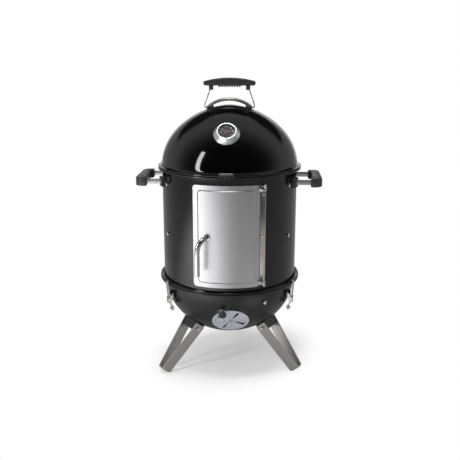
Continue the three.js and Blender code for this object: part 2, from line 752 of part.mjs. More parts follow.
function handleWire(grow) {
  const rise = gripBottom + 9;
  const half = [[wireEnd, wirePivot], [62, wirePivot], [66, wirePivot], [wireFoot - 0.8, wirePivot + 2], [wireFoot - 0.6, wirePivot + 8],
    [wireTopHalf + 4.5, gripBottom - postDrop - 2], [wireTopHalf + 1, gripBottom], [wireTopHalf - 4, rise], [30, rise]];
  const points = [...half.map(([x, z]) => [-x, z]), [0, rise], ...half.reverse()];
  return swept(points.map(([x, z]) => new THREE.Vector3(x, 0, z)), roundSection(wireRadius + grow, 6), 40);
}

function lidGrip() {
  const end = gripBottom + gripEndHeight;
  const tip = gripEndHeight / 2;
  const sagitta = gripRise - gripEndHeight;
  const half = gripHalfLength - tip;
  const radius = (half * half + sagitta * sagitta) / (2 * sagitta);
  const spread = THREE.MathUtils.radToDeg(Math.asin(half / radius));
  const chamfer = 3;
  const outline = [
    ...arc(half, gripBottom + tip, tip, -90, 60, 3),
    ...arc(0, end + sagitta - radius, radius, 90 - spread + 2, 90 + spread - 2, 8),
    ...arc(-half, gripBottom + tip, tip, 120, 270, 3),
  ];
  const shape = new THREE.Shape(outline.map(([x, z]) => new THREE.Vector2(x, z)));
  const options = { depth: gripDepth - 2 * chamfer, bevelThickness: chamfer, bevelSize: chamfer, bevelOffset: -chamfer, bevelSegments: 2 };
  const body = new THREE.ExtrudeGeometry(shape, options).translate(0, 0, -gripDepth / 2 + chamfer).rotateX(Math.PI / 2);
  const ridges = [];
  for (let i = 0; i < ridgeCount; i += 1) {
    const x = (i - (ridgeCount - 1) / 2) * ridgePitch;
    ridges.push(block(x - ridgeHalf, x + ridgeHalf, -gripDepth / 2 + 4, gripDepth / 2 - 4, gripBottom - ridgeDepth, gripBottom + 3));
  }
  const posts = [-1, 1].map((side) =>
    block(side * wireTopHalf - 5.7, side * wireTopHalf + 5.7, -7, 7, gripBottom - postDrop, gripBottom + 4));
  return cut(join(body, ...ridges, ...posts), handleWire(gap));
}

// Thermometer, modelled facing +Z about the point where its stem meets the dome
function bezel() {
  const bore = faceRadius + 1;
  const profile = [
    [bore, -6], [bezelRadius, -6], [bezelRadius, 1.2], [bezelRadius - 1.5, 2.8], [bezelFront, bezelRise],
    [faceRadius - 0.5, bezelRise], [faceRadius - 0.5, bezelRise - 1.6], [bore, bezelRise - 1.6], [bore, -6],
  ];
  return cut(dialPlace(turned(profile, roundSides)), domeOutside);
}

function dial() {
  const face = bezelRise - 8;
  const head = join(rod(faceRadius + 0.6, face, face + 2, roundSides), rod(8, gap + 0.2, face + 1, 12));
  const nut = rod(6, -sheet - 5.6, -sheet - 1.6, 6);
  return dialPlace(join(head, rod(stemRadius, -stemLength, face), nut));
}

function needle() {
  const low = bezelRise - 5.6;
  const blade = plan([[-5, -1.1], [needleLength, -0.4], [needleLength, 0.4], [-5, 1.1]], low, low + 0.8);
  return dialPlace(join(blade, rod(2.4, low, low + 1.4)).rotateZ(radians(needleTurn)));
}

const lens = () => dialPlace(rod(faceRadius + 0.6, bezelRise - 3.6, bezelRise - 2, roundSides));

// Latch on the front line of the bowl: base with its pin, lever, hook over the barrel's bead
const latchPivot = [bowlReach(latchPivotHeight) + latchPivotOut, latchPivotHeight];
const latchLinkPin = [latchPivot[0] + 0.4 * latchLink, latchPivot[1] - 0.917 * latchLink];
const crossPin = ([reach, height], radius, half, sides = boltSides) =>
  rod(radius, -half, half, sides).rotateY(Math.PI / 2).translate(0, -reach, height);

const latchBody = latchHookWidth / 2 + gap;
const earWidth = 1.6;

function pair(outline, inner) {
  const offset = inner + earWidth / 2;
  return [-offset, offset].map((x) => fin(outline, earWidth).translate(x, 0, 0));
}

function latchBase() {
  const [reach, height] = latchPivot;
  const low = height - 26;
  const high = height + 11;
  const out = 1.5;
  const plate = [[bowlReach(low) + out, low], [bowlReach(low) + out + 2, low], [bowlReach(high) + out + 2, high], [bowlReach(high) + out, high]];
  const ear = [[bowlReach(height - 12) + out, height - 12], [reach + 3.5, height - 4], [reach + 3.5, height + 4], [bowlReach(high) + out, high - 1]];
  const pin = crossPin(latchPivot, 1.6, latchBody + 3 * earWidth);
  return join(fin(plate, 2 * (latchBody + earWidth)), ...pair(ear, latchBody), pin);
}

function latchLever() {
  const [reach, height] = latchPivot;
  const cheek = latchBody + earWidth + gap;
  const tip = height - latchLeverLength;
  const out = latchLinkPin[0] + 4;
  const side = [[reach - 3.5, height + 3], [reach + 3, height + 4], [out + 0.5, latchLinkPin[1] + 5], [out, height - 26], [out - 4, height - 26]];
  const low = out - latchLeverLean;
  const curl = [[low - 2, tip + 8], [low + 3, tip], [low + 1, tip - 1], [low - 4.2, tip + 8]];
  const plate = [[out - latchSheet, height - 22], [out, height - 22], ...curl];
  const whole = join(fin(plate, 2 * (cheek + earWidth)), ...pair(side, cheek), crossPin(latchLinkPin, 1.5, cheek + 1));
  return cut(whole, crossPin(latchPivot, 1.6 + gap, 30));
}

function latchHook() {
  const [reach, height] = latchLinkPin;
  const top = barrelBase + 2 * beadRadius + gap;
  const inner = lipReach + 0.8;
  const outline = [
    [reach - 3.4, height - 2], [reach + 1, height - 3.4], [reach + 3.2, height], [inner + latchSheet, top - 18], [inner + latchSheet, top + latchSheet],
    [lipReach - 5, top + latchSheet], [lipReach - 5, top], [inner, top], [inner, top - 17], [reach, height + 5], [reach - 3, height + 2],
  ];
  return cut(fin(outline, latchHookWidth), crossPin(latchLinkPin, 1.5 + gap, 30));
}

piece('fire_bowl', fireBowl(), materials.bowlEnamel, bowlGroup);
for (const [side, azimuth] of Object.entries(legAzimuths)) {
  const turn = radians(azimuth);
  piece(`leg_${side}`, legGeometry().rotateZ(turn), materials.legSteel, bowlGroup);
  piece(`leg_bolt_${side}`, legBoltGeometry().rotateZ(turn), materials.stainless, bowlGroup);
}
for (const [side, azimuth] of Object.entries(latchAzimuths)) {
  const turn = radians(azimuth);
  piece(`latch_base_${side}`, latchBase().rotateZ(turn), materials.blackSteel, bowlGroup);
  piece(`latch_lever_${side}`, latchLever().rotateZ(turn), materials.stainless, bowlGroup);
  piece(`latch_hook_${side}`, latchHook().rotateZ(turn), materials.stainless, bowlGroup);
}
for (const [side, azimuth] of Object.entries(charcoalAzimuths)) {
  piece(`charcoal_bolt_${side}`, charcoalSupport().rotateZ(radians(azimuth)), materials.stainless, bowlGroup);
}
piece('charcoal_grate', grate(charcoalRadius, charcoalHeight + supportBoltRadius + gap), materials.wire, bowlGroup);
ventPieces('bowl', vents.bowl, bowlGroup);

piece('barrel', barrelGeometry(), materials.enamel);
for (const [row, { level, ledges }] of Object.entries(supports)) {
  for (const [side, azimuth] of Object.entries(supportAzimuths)) {
    piece(`${row}_support_${side}`, support(level, ledges).rotateZ(radians(azimuth)), materials.stainless);
  }
  piece(`${row}_grate`, grate(grateRadius, level), materials.wire);
}
piece('water_pan', waterPan(), materials.enamel);
piece('door_panel', doorPanel(), materials.stainless);
piece('hinge_strip', hingeStrip(), materials.stainless);
piece('hinge_pin_lower', hingePin(earLevels[0][0] - 1, lugLevels[0][1] + gap), materials.stainless);
piece('hinge_pin_upper', hingePin(lugLevels[1][0] - 1, hingeHigh + gap), materials.stainless);
piece('door_lever', doorLever(), materials.stainless);
piece('door_cam', doorCam(), materials.stainless);
for (const [side, turn] of [['right', 0], ['left', Math.PI]]) {
  piece(`side_strap_${side}`, sideStrap(0).rotateZ(turn), materials.stainless);
  piece(`side_grip_${side}`, sideGripBody().rotateZ(turn), materials.plastic);
  for (const [end, front] of [['front', side === 'right' ? 1 : -1], ['rear', side === 'right' ? -1 : 1]]) {
    piece(`side_bracket_${side}_${end}`, sideBracket(front).rotateZ(turn), materials.plastic);
  }
}

piece('lid', lidGeometry(), materials.enamel);
ventPieces('lid', vents.lid, smoker);
piece('handle_foot_left', handleFoot(-1), materials.plastic);
piece('handle_foot_right', handleFoot(1), materials.plastic);
piece('heat_shield', heatShield(), materials.stainless);
piece('handle_wire', handleWire(0), materials.wire);
piece('lid_grip', lidGrip(), materials.plastic);
piece('thermometer_bezel', bezel(), materials.stainless);
piece('thermometer_dial', dial(), materials.dialFace);
piece('thermometer_needle', needle(), materials.needleRed);
piece('thermometer_lens', lens(), materials.lens);

export default smoker;
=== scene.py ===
import json
import math
from contextlib import contextmanager

import bmesh
import bpy
import numpy as np
from mathutils import Matrix, Quaternion, Vector


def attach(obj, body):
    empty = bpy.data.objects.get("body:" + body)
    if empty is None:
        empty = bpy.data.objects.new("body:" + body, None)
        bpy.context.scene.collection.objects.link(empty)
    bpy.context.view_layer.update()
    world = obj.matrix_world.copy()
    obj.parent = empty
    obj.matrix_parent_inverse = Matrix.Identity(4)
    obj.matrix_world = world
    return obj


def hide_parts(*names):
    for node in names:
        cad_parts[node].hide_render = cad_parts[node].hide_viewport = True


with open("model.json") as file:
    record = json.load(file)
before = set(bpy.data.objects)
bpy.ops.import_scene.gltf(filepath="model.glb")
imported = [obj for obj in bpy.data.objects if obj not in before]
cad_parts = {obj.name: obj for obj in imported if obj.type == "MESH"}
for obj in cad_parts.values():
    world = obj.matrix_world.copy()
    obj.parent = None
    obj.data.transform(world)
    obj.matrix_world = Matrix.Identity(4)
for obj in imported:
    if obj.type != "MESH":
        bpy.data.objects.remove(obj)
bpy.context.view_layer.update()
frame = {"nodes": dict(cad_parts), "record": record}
mm = 0.001  # sizes below are in millimetres, meshes are in metres
quarter = math.pi / 2
facing = Matrix.Rotation(quarter, 4, "X")  # turns what is made along Z to the front

# Sizes that more than one piece uses, as in the part's source
shell = {
    "barrelRadius": 190.0, "barrelBase": 265.0, "barrelTop": 582.4, "sheet": 1.2,
    "bowlRadius": 187.0, "bowlDepth": 160.5, "bowlEqual": 258.5, "bowlLip": 264.7,
    "lidBase": 582.7, "domeBase": 589.7, "domeRise": 163.0, "domeSharpness": 1.16,
    "lidFlare": 16.0, "beadRadius": 2.6, "beadCentre": 198.9, "beadStart": 147.4, "flareRadius": 4.0,
    "bowlTurn": 4.0, "around": 432,
}
legSides = {"left": -60.0, "right": 60.0, "rear": 180.0}


# Small mesh tools
def linked(name, data):
    piece = bpy.data.objects.new(name, data)
    bpy.context.scene.collection.objects.link(piece)
    return piece


def smooth(piece, angle=35.0):
    piece.data.shade_smooth()
    piece.data.set_sharp_from_angle(angle=math.radians(angle))
    return piece


@contextmanager
def edited(mesh, *sources):
    work = bmesh.new()
    for source in sources or [mesh]:
        work.from_mesh(source)
    yield work
    work.to_mesh(mesh)
    work.free()


def weld(mesh, reach=2e-6):
    with edited(mesh) as work:
        bmesh.ops.remove_doubles(work, verts=work.verts, dist=reach)
        bmesh.ops.recalc_face_normals(work, faces=work.faces)


def rawMesh(name, points, faces):
    mesh = bpy.data.meshes.new(name)
    mesh.from_pydata([[c * mm for c in p] for p in points], [], faces)
    return mesh


def fromPoints(name, points, faces, angle=35.0):
    mesh = rawMesh(name, points, faces)
    weld(mesh)
    return smooth(linked(name, mesh), angle)


def meshOf(piece, **options):
    graph = bpy.context.evaluated_depsgraph_get()
    return bpy.data.meshes.new_from_object(piece.evaluated_get(graph), depsgraph=graph, **options)


def settled(piece):
    old, result = piece.data, meshOf(piece, preserve_all_data_layers=True)
    piece.modifiers.clear()
    piece.data = result
    if old.users == 0:
        bpy.data.meshes.remove(old)
    return piece


def softened(piece, width, segments=2, angle=30.0):
    bevel = piece.modifiers.new("edgeRound", "BEVEL")
    bevel.width, bevel.segments = width * mm, segments
    bevel.limit_method, bevel.angle_limit = "ANGLE", math.radians(angle)
    bevel.harden_normals = True
    return settled(piece)


def carved(piece, tool):
    boolean = piece.modifiers.new("carve", "BOOLEAN")
    boolean.operation, boolean.solver, boolean.object = "DIFFERENCE", "EXACT", tool
    settled(piece)
    bpy.data.objects.remove(tool)
    return piece


def joined(name, *pieces):
    mesh = bpy.data.meshes.new(name)
    with edited(mesh, *[piece.data for piece in pieces]):
        for piece in pieces:
            bpy.data.objects.remove(piece)
    return smooth(linked(name, mesh))


def moved(piece, matrix):
    piece.data.transform(matrix)
    return piece


def turnedTo(azimuth):
    return Matrix.Rotation(math.radians(azimuth), 4, "Z")


def shifted(x, y, z):
    return Matrix.Translation((x * mm, y * mm, z * mm))


# Outlines, as lists of points in one plane
def arc(cx, cz, radius, start, end, steps):
    angles = [math.radians(start + (end - start) * i / steps) for i in range(steps + 1)]
    return [(cx + radius * math.cos(a), cz + radius * math.sin(a)) for a in angles]


def circle(radius, sides):
    return arc(0, 0, radius, 0, 360, sides)[:-1]


def roundedBox(width, low, high, corner, steps=6):
    x = width / 2 - corner
    centres = ((x, high - corner), (-x, high - corner), (-x, low + corner), (x, low + corner))
    return [p for i, (cx, cz) in enumerate(centres) for p in arc(cx, cz, corner, 90 * i, 90 * i + 90, steps)]


def mirrored(half):
    return [(-x, y) for x, y in reversed(half)] + half


def raised(outline):
    return [(x, -y) for x, y in outline]


# Faces of a closed tube: rows of rings, a cap at each end
def tube(rows, count):
    faces = [list(range(count))[::-1], list(range((rows - 1) * count, rows * count))]
    for i in range(rows - 1):
        for j in range(count):
            k = (j + 1) % count
            faces.append([i * count + j, i * count + k, (i + 1) * count + k, (i + 1) * count + j])
    return faces


def latheMesh(profile, around):
    points, rings, faces = [], [], []
    for reach, height in profile:
        if reach < 1e-6:
            rings.append([len(points)] * around)
            points.append((0, 0, height))
            continue
        rings.append(range(len(points), len(points) + around))
        for i in range(around):
            a = 2 * math.pi * i / around
            points.append((reach * math.sin(a), -reach * math.cos(a), height))
    for low, high in zip(rings, rings[1:]):
        for i in range(around):
            j = (i + 1) % around
            corners = list(dict.fromkeys((low[i], low[j], high[j], high[i])))
            if len(corners) > 2:
                faces.append(corners)
    return points, faces


def lathe(name, profile, around=96):
    return fromPoints(name, *latheMesh(profile, around))


def prism(name, outline, low, high):
    return fromPoints(name, [(x, y, z) for z in (low, high) for x, y in outline], tube(2, len(outline)))


def box(name, x, y, low, high):
    return prism(name, [(x[0], y[0]), (x[1], y[0]), (x[1], y[1]), (x[0], y[1])], low, high)


def fromCurve(name, curve, place):
    source = linked(name + "Curve", curve)
    mesh = meshOf(source)
    bpy.data.objects.remove(source)
    mesh.transform(place)
    return mesh


# A flat plate with holes: outlines in the XY plane, pushed up from low to high
def plate(name, outlines, low, high, edge=0.15):
    curve = bpy.data.curves.new(name, "CURVE")
    curve.dimensions, curve.fill_mode = "2D", "BOTH"
    curve.extrude, curve.offset = ((high - low) / 2 - edge) * mm, -edge * mm
    curve.bevel_depth, curve.bevel_resolution = edge * mm, 1
    for outline in outlines:
        spline = curve.splines.new("POLY")
        spline.points.add(len(outline) - 1)
        spline.use_cyclic_u = True
        for point, (x, y) in zip(spline.points, outline):
            point.co = (x * mm, y * mm, 0, 1)
    mesh = fromCurve(name, curve, shifted(0, 0, (low + high) / 2))
    weld(mesh, 1e-6)
    return smooth(linked(name, mesh))


# A curve through all points, its pace set by the root of each span
def smoothPath(points, perSpan):
    points = [Vector(p) for p in points]
    padded = [2 * points[0] - points[1]] + points + [2 * points[-1] - points[-2]]
    path = []
    for i in range(1, len(padded) - 2):
        four, at = padded[i - 1:i + 3], [0.0]
        for a, b in zip(four, four[1:]):
            at.append(at[-1] + (b - a).length ** 0.5)
        for step in range(perSpan):
            t = at[1] + (at[2] - at[1]) * step / perSpan
            level = four
            for spans in (((0, 1), (1, 2), (2, 3)), ((0, 2), (1, 3)), ((1, 2),)):
                level = [a * ((at[v] - t) / (at[v] - at[u])) + b * ((t - at[u]) / (at[v] - at[u]))
                         for (u, v), a, b in zip(spans, level, level[1:])]
            path.append(level[0])
    return path + [points[-1]]


# Keeps a place on the strip for brushed grain as a UV map
def flowMap(mesh, placeOf):
    flow = mesh.uv_layers.new(name="flow")
    for corner, loop in zip(flow.data, mesh.loops):
        corner.uv = placeOf(loop.vertex_index)


# Sweeps a section along a path; the rings after the bent ones keep the last heading
def swept(name, path, section, side, angle=35.0, sizes=None, bent=None, girth=0.03):
    path = [Vector(p) for p in path]
    count, points, lengths = len(section), [], [0.0]
    side = Vector(side).normalized()
    for i, place in enumerate(path):
        if i < (bent or len(path)):
            along = (path[min(i + 1, len(path) - 1)] - path[max(i - 1, 0)]).normalized()
            side = (side - along * side.dot(along)).normalized()
            up = along.cross(side)
        points += [place + (side * a + up * b) * (sizes[i] if sizes else 1.0) for a, b in section]
        if i:
            lengths.append(lengths[-1] + (place - path[i - 1]).length * mm)
    mesh = rawMesh(name, points, tube(len(path), count))
    flowMap(mesh, lambda index: (lengths[index // count], index % count / count * girth))
    weld(mesh)
    return smooth(linked(name, mesh), angle)


# Places on the curved shells
def bowlReach(height):
    return shell["bowlRadius"] * math.sqrt(max(1 - ((shell["bowlEqual"] - height) / shell["bowlDepth"]) ** 2, 0))


def domePoint(climb, inset=0.0):
    reach = (shell["barrelRadius"] - inset) * max(math.cos(climb), 0) ** shell["domeSharpness"]
    return (reach, shell["domeBase"] + (shell["domeRise"] - inset) * math.sin(climb))


def domeReach(height):
    return domePoint(math.asin(min((height - shell["domeBase"]) / shell["domeRise"], 1)))[0]


# The rolled bead under a rim, from the flare of the wall round to the sheet's edge
def beadUnder(rim):
    bead = shell["beadRadius"]
    return arc(shell["beadCentre"], rim - bead, bead, shell["beadStart"], 450, 20)


def onShell(reachAt, height, azimuth, sink=0.0):
    tilt = math.atan2(reachAt(height - 2) - reachAt(height + 2), 4)
    return (turnedTo(azimuth) @ shifted(0, -reachAt(height), height)
            @ Matrix.Rotation(quarter - tilt, 4, "X") @ shifted(0, 0, -sink))


# Node trees: put gives the first output of a new node, calc does arithmetic
def node(tree, kind, inputs=None, **settings):
    made = tree.nodes.new(kind)
    for key, value in settings.items():
        setattr(made, key, value)
    for key, value in (inputs or {}).items():
        if isinstance(value, bpy.types.NodeSocket):
            tree.links.new(value, made.inputs[key])
        else:
            made.inputs[key].default_value = value
    return made


def put(tree, kind, inputs=None, **settings):
    return node(tree, kind, inputs, **settings).outputs[0]


def calc(tree, operation, *values):
    return put(tree, "ShaderNodeMath", dict(enumerate(values)), operation=operation)


def times(tree, a, b):
    return calc(tree, "MULTIPLY", a, b)


def xyz(tree, *values):
    return put(tree, "ShaderNodeCombineXYZ", dict(enumerate(values)))


def split(tree, vector):
    return node(tree, "ShaderNodeSeparateXYZ", {0: vector}).outputs


def ranged(tree, value, near, far, low=0.0, high=1.0, curve="LINEAR"):
    inputs = dict(enumerate((value, near, far, low, high)))
    return put(tree, "ShaderNodeMapRange", inputs, interpolation_type=curve)


def noise(tree, vector, scale, detail, roughness=0.5):
    return put(tree, "ShaderNodeTexNoise", {"Vector": vector, "Scale": scale, "Detail": detail, "Roughness": roughness})


def sockets(tree, way, kind, *labels):
    for label in labels:
        tree.interface.new_socket(label, in_out=way, socket_type="NodeSocket" + kind)


# Geometry Nodes: each tree takes its sizes as inputs and is baked to a mesh
def newTree(name, *sizes, whole):
    tree = bpy.data.node_groups.new(name, "GeometryNodeTree")
    sockets(tree, "INPUT", "Geometry", "Geometry")
    sockets(tree, "INPUT", "Float", *sizes)
    sockets(tree, "INPUT", "Int", *whole)
    sockets(tree, "INPUT", "Material", "Material")
    sockets(tree, "OUTPUT", "Geometry", "Geometry")
    return tree, tree.nodes.new("NodeGroupInput").outputs


def rowOf(tree, count, pitch, level=0.0):
    first = times(tree, calc(tree, "SUBTRACT", count, 1.0), times(tree, pitch, -0.5))
    return put(tree, "GeometryNodeMeshLine", {"Count": count, "Start Location": xyz(tree, first, 0.0, level),
                                              "Offset": xyz(tree, pitch)})


def onPoints(tree, points, instance, **more):
    return put(tree, "GeometryNodeInstanceOnPoints", {"Points": points, "Instance": instance, **more})


def block(tree, *size):
    return put(tree, "GeometryNodeMeshCube", {"Size": xyz(tree, *size)})


def placed(tree, geometry, **more):
    return put(tree, "GeometryNodeTransform", {"Geometry": geometry, **more})


def together(tree, *parts):
    both = node(tree, "GeometryNodeJoinGeometry")
    for part in parts:
        tree.links.new(part, both.inputs[0])
    return both.outputs[0]


def closeTree(tree, size, geometry, flat=False):
    real = put(tree, "GeometryNodeRealizeInstances", {"Geometry": geometry})
    shade = put(tree, "GeometryNodeSetShadeSmooth", {"Geometry": real, "Shade Smooth": not flat})
    paint = put(tree, "GeometryNodeSetMaterial", {"Geometry": shade, "Material": size["Material"]})
    node(tree, "NodeGroupOutput", {"Geometry": paint})
    return tree


def baked(name, tree, sizes, finish, seed=None):
    piece = linked(name, seed or bpy.data.meshes.new(name + "Seed"))
    modifier = piece.modifiers.new(tree.name, "NODES")
    modifier.node_group = tree
    names = {item.name: item.identifier for item in tree.interface.items_tree if item.in_out == "INPUT"}
    for label, value in {**sizes, "Material": finishes[finish]}.items():
        modifier[names[label]] = value
    settled(piece)
    weld(piece.data, 1e-6)
    return smooth(piece)


# Shader groups: fine grain, soft mottle, dust specks and worn edges
def newGroup(name, values, *results):
    group = bpy.data.node_groups.new(name, "ShaderNodeTree")
    sockets(group, "INPUT", "Vector", "Vector")
    sockets(group, "INPUT", "Float", *values)
    sockets(group, "OUTPUT", "Float", *results)
    return group, group.nodes.new("NodeGroupInput").outputs


def closeGroup(group, **results):
    node(group, "NodeGroupOutput", results)
    return group


def grainGroup():
    group, given = newGroup("brushedGrain", ["Contrast"], "Tone", "Height")
    fine = noise(group, given["Vector"], 1.0, 6.0, 0.7)
    wide = noise(group, given["Vector"], 0.13, 3.0, 0.6)
    both = calc(group, "ADD", times(group, fine, 0.6), times(group, wide, 0.4))
    tone = calc(group, "MULTIPLY_ADD", calc(group, "SUBTRACT", both, 0.5), given["Contrast"], 0.5)
    return closeGroup(group, Tone=tone, Height=fine)


def mottleGroup():
    group, given = newGroup("mottle", ["Size", "Low", "High"], "Value", "Height")
    cloud = noise(group, given["Vector"], given["Size"], 4.0, 0.55)
    return closeGroup(group, Value=ranged(group, cloud, 0.3, 0.7, given["Low"], given["High"]), Height=cloud)


def dustGroup():
    group, given = newGroup("dustSpecks", ["Density", "Reach"], "Mask")
    cells = put(group, "ShaderNodeTexVoronoi", {"Vector": given["Vector"], "Scale": given["Density"]})
    reach = times(group, given["Reach"], noise(group, given["Vector"], 14.0, 3.0))
    return closeGroup(group, Mask=calc(group, "LESS_THAN", cells, reach))


def wearGroup():
    group, given = newGroup("edgeWear", ["Amount", "Size"], "Mask")
    ridge = ranged(group, node(group, "ShaderNodeNewGeometry").outputs["Pointiness"], 0.52, 0.6)
    broken = ranged(group, noise(group, given["Vector"], given["Size"], 5.0), 0.42, 0.62)
    return closeGroup(group, Mask=times(group, times(group, ridge, broken), given["Amount"]))


groups = {"grain": grainGroup(), "mottle": mottleGroup(), "dust": dustGroup(), "wear": wearGroup()}


def newMaterial(name, **settings):
    made = bpy.data.materials.new(name)
    made.use_nodes = True
    shader = made.node_tree.nodes["Principled BSDF"]
    for key, value in settings.items():
        shader.inputs[key.replace("_", " ")].default_value = value
    return made, made.node_tree, shader


def effect(tree, name, vector, **values):
    return node(tree, "ShaderNodeGroup", {"Vector": vector, **values}, node_tree=groups[name]).outputs


def stretched(tree, scale=(1, 1, 1), uv=None):
    source = put(tree, "ShaderNodeUVMap", uv_map=uv) if uv else node(tree, "ShaderNodeTexCoord").outputs["Object"]
    return put(tree, "ShaderNodeMapping", {"Vector": source, "Scale": scale})


def dimmed(colour, share):
    return tuple(c * share for c in colour)


# Inputs 6 and 7 and output 2 are the colours of a mix node
def blended(tree, factor, *colours):
    inputs = {"Factor": factor}
    for i, colour in enumerate(colours, 6):
        inputs[i] = colour if isinstance(colour, bpy.types.NodeSocket) else (*colour, 1.0)
    return node(tree, "ShaderNodeMix", inputs, data_type="RGBA").outputs[2]


# Feeds a look into its shader: colour, roughness and a fine height in millimetres
def fed(tree, shader, colour, rough, height, distance, strength=1.0):
    bump = put(tree, "ShaderNodeBump", {"Height": height, "Distance": distance * mm, "Strength": strength})
    for label, value in (("Base Color", colour), ("Roughness", rough), ("Normal", bump)):
        tree.links.new(value, shader.inputs[label])


# Porcelain enamel: near black, with a slight orange peel, faint dust and thin spots at the edges
def enamel(name, dark, rough, peel, dusty=(0.03, 0.03, 0.032)):
    made, tree, shader = newMaterial(name, Metallic=0.0, IOR=1.5)
    place = stretched(tree)
    colour = blended(tree, effect(tree, "dust", place, Density=420.0, Reach=0.09)["Mask"], dark, dusty)
    colour = blended(tree, effect(tree, "wear", place, Amount=0.5, Size=120.0)["Mask"], colour, dimmed(dusty, 3))
    tone = effect(tree, "mottle", place, Size=9.0, Low=rough[0], High=rough[1])
    skin = effect(tree, "mottle", place, Size=170.0, Low=0.0, High=1.0)
    fed(tree, shader, colour, tone["Value"], skin["Height"], peel)
    return made


# Brushed steel: grain along one direction, as a tone, a roughness and a fine height
def brushed(name, tint, rough, scale, uv=None, anisotropy=0.0, across=0.0, height=0.01, contrast=0.5):
    made, tree, shader = newMaterial(name, Metallic=1.0, Anisotropic=anisotropy, Anisotropic_Rotation=across)
    grain = effect(tree, "grain", stretched(tree, scale, uv), Contrast=contrast)
    stain = effect(tree, "mottle", stretched(tree), Size=7.0, Low=0.0, High=0.25)
    colour = blended(tree, grain["Tone"], dimmed(tint, 0.78), tint)
    colour = blended(tree, stain["Value"], colour, dimmed(tint, 0.85))
    fed(tree, shader, colour, ranged(tree, grain["Tone"], 0.0, 1.0, *rough), grain["Height"], height, 0.6)
    if anisotropy:
        tree.links.new(put(tree, "ShaderNodeTangent", direction_type="RADIAL", axis="Z"), shader.inputs["Tangent"])
    return made


# Plain sheet and wire: soft mottle with a trace of scratches
def metal(name, tint, rough, height=0.004, metallic=1.0):
    made, tree, shader = newMaterial(name, Metallic=metallic)
    tone = effect(tree, "mottle", stretched(tree), Size=60.0, Low=rough[0], High=rough[1])
    grain = effect(tree, "grain", stretched(tree, (90, 900, 400)), Contrast=0.8)
    fed(tree, shader, blended(tree, grain["Tone"], dimmed(tint, 0.84), tint), tone["Value"], grain["Height"], height)
    return made


# Moulded plastic: pebble grain, lighter rubbed edges
def moulded(name, dark, rubbed, rough):
    made, tree, shader = newMaterial(name, Metallic=0.0, IOR=1.5)
    place = stretched(tree)
    cells = put(tree, "ShaderNodeTexVoronoi", {"Vector": place, "Scale": 900.0})
    wear = effect(tree, "wear", place, Amount=0.8, Size=70.0)
    tone = effect(tree, "mottle", place, Size=25.0, Low=rough[0], High=rough[1])
    fed(tree, shader, blended(tree, wear["Mask"], dark, rubbed), tone["Value"], cells, 0.05)
    return made


def glassy(name):
    made, tree, shader = newMaterial(name, Metallic=0.0, IOR=1.45, Transmission_Weight=1.0)
    tone = effect(tree, "mottle", stretched(tree), Size=40.0, Low=0.0, High=0.02)
    tree.links.new(tone["Value"], shader.inputs["Roughness"])
    return made


finishes, slots = {}, {}


def finish(slot, maker, name, *looks, **more):
    finishes[name], slots[name] = maker(name, *looks, **more), slot


finish("enamel", enamel, "lidEnamel", (0.0006, 0.0006, 0.0007), (0.05, 0.08), 0.003, (0.02, 0.02, 0.021))
finish("enamel", enamel, "barrelEnamel", (0.0012, 0.0012, 0.0014), (0.14, 0.19), 0.004, (0.02, 0.02, 0.021))
finish("bowl_enamel", enamel, "bowlEnamel", (0.0035, 0.0038, 0.0048), (0.26, 0.34), 0.008)
finish("enamel", enamel, "panEnamel", (0.004, 0.004, 0.0045), (0.12, 0.2), 0.006)
finish("stainless", brushed, "doorSteel", (0.60, 0.60, 0.61), (0.34, 0.44), (3, 3, 900), anisotropy=0.35, across=0.25)
finish("stainless", brushed, "strapSteel", (0.56, 0.55, 0.53), (0.28, 0.42), (12, 700, 1), "flow")
finish("leg_steel", brushed, "legSteel", (0.60, 0.585, 0.56), (0.30, 0.46), (14, 900, 1), "flow", contrast=0.8)
finish("stainless", brushed, "leverSteel", (0.60, 0.59, 0.57), (0.16, 0.26), (10, 400, 1), "flow", height=0.004)
finish("stainless", brushed, "shieldSteel", (0.60, 0.59, 0.57), (0.24, 0.36), (900, 12, 12))
finish("stainless", metal, "sheetSteel", (0.60, 0.575, 0.55), (0.24, 0.36))
finish("stainless", metal, "latchSteel", (0.60, 0.59, 0.57), (0.20, 0.30))
finish("stainless", metal, "boltSteel", (0.72, 0.72, 0.72), (0.16, 0.28))
finish("stainless", metal, "bezelSteel", (0.72, 0.73, 0.75), (0.26, 0.34))
finish("plated_wire", metal, "wirePlating", (0.42, 0.42, 0.43), (0.2, 0.3))
finish("plated_wire", metal, "gratePlating", (0.66, 0.66, 0.67), (0.14, 0.26))
finish("vent_metal", metal, "ventSheet", (0.84, 0.87, 0.96), (0.36, 0.48), 0.006, 0.85)
finish("black_steel", metal, "blackSteel", (0.012, 0.012, 0.013), (0.34, 0.5), 0.01, 0.0)
finish("black_plastic", moulded, "handlePlastic", (0.018, 0.0188, 0.022), (0.04, 0.041, 0.045), (0.36, 0.5))
finish("dial_face", moulded, "dialPrint", (0.016, 0.018, 0.021), (0.03, 0.03, 0.03), (0.4, 0.5))
finish("dial_face", moulded, "dialMarks", (0.66, 0.67, 0.69), (0.5, 0.5, 0.5), (0.4, 0.5))
finish("needle_red", moulded, "needlePaint", (0.62, 0.02, 0.035), (0.7, 0.1, 0.1), (0.3, 0.4))
finish("lens", glassy, "lensGlass")
nodeFinish = {
    "enamel": "barrelEnamel", "bowl_enamel": "bowlEnamel", "stainless": "sheetSteel", "leg_steel": "legSteel",
    "black_plastic": "handlePlastic", "black_steel": "blackSteel", "plated_wire": "gratePlating",
    "vent_metal": "ventSheet", "dial_face": "dialPrint", "needle_red": "needlePaint", "lens": "lensGlass",
}
print("finishes made:", len(finishes))


def bodyOf(cadName):
    for body, members in frame["record"]["behaviour"]["bodies"].items():
        if cadName in members:
            return body
    return "root"


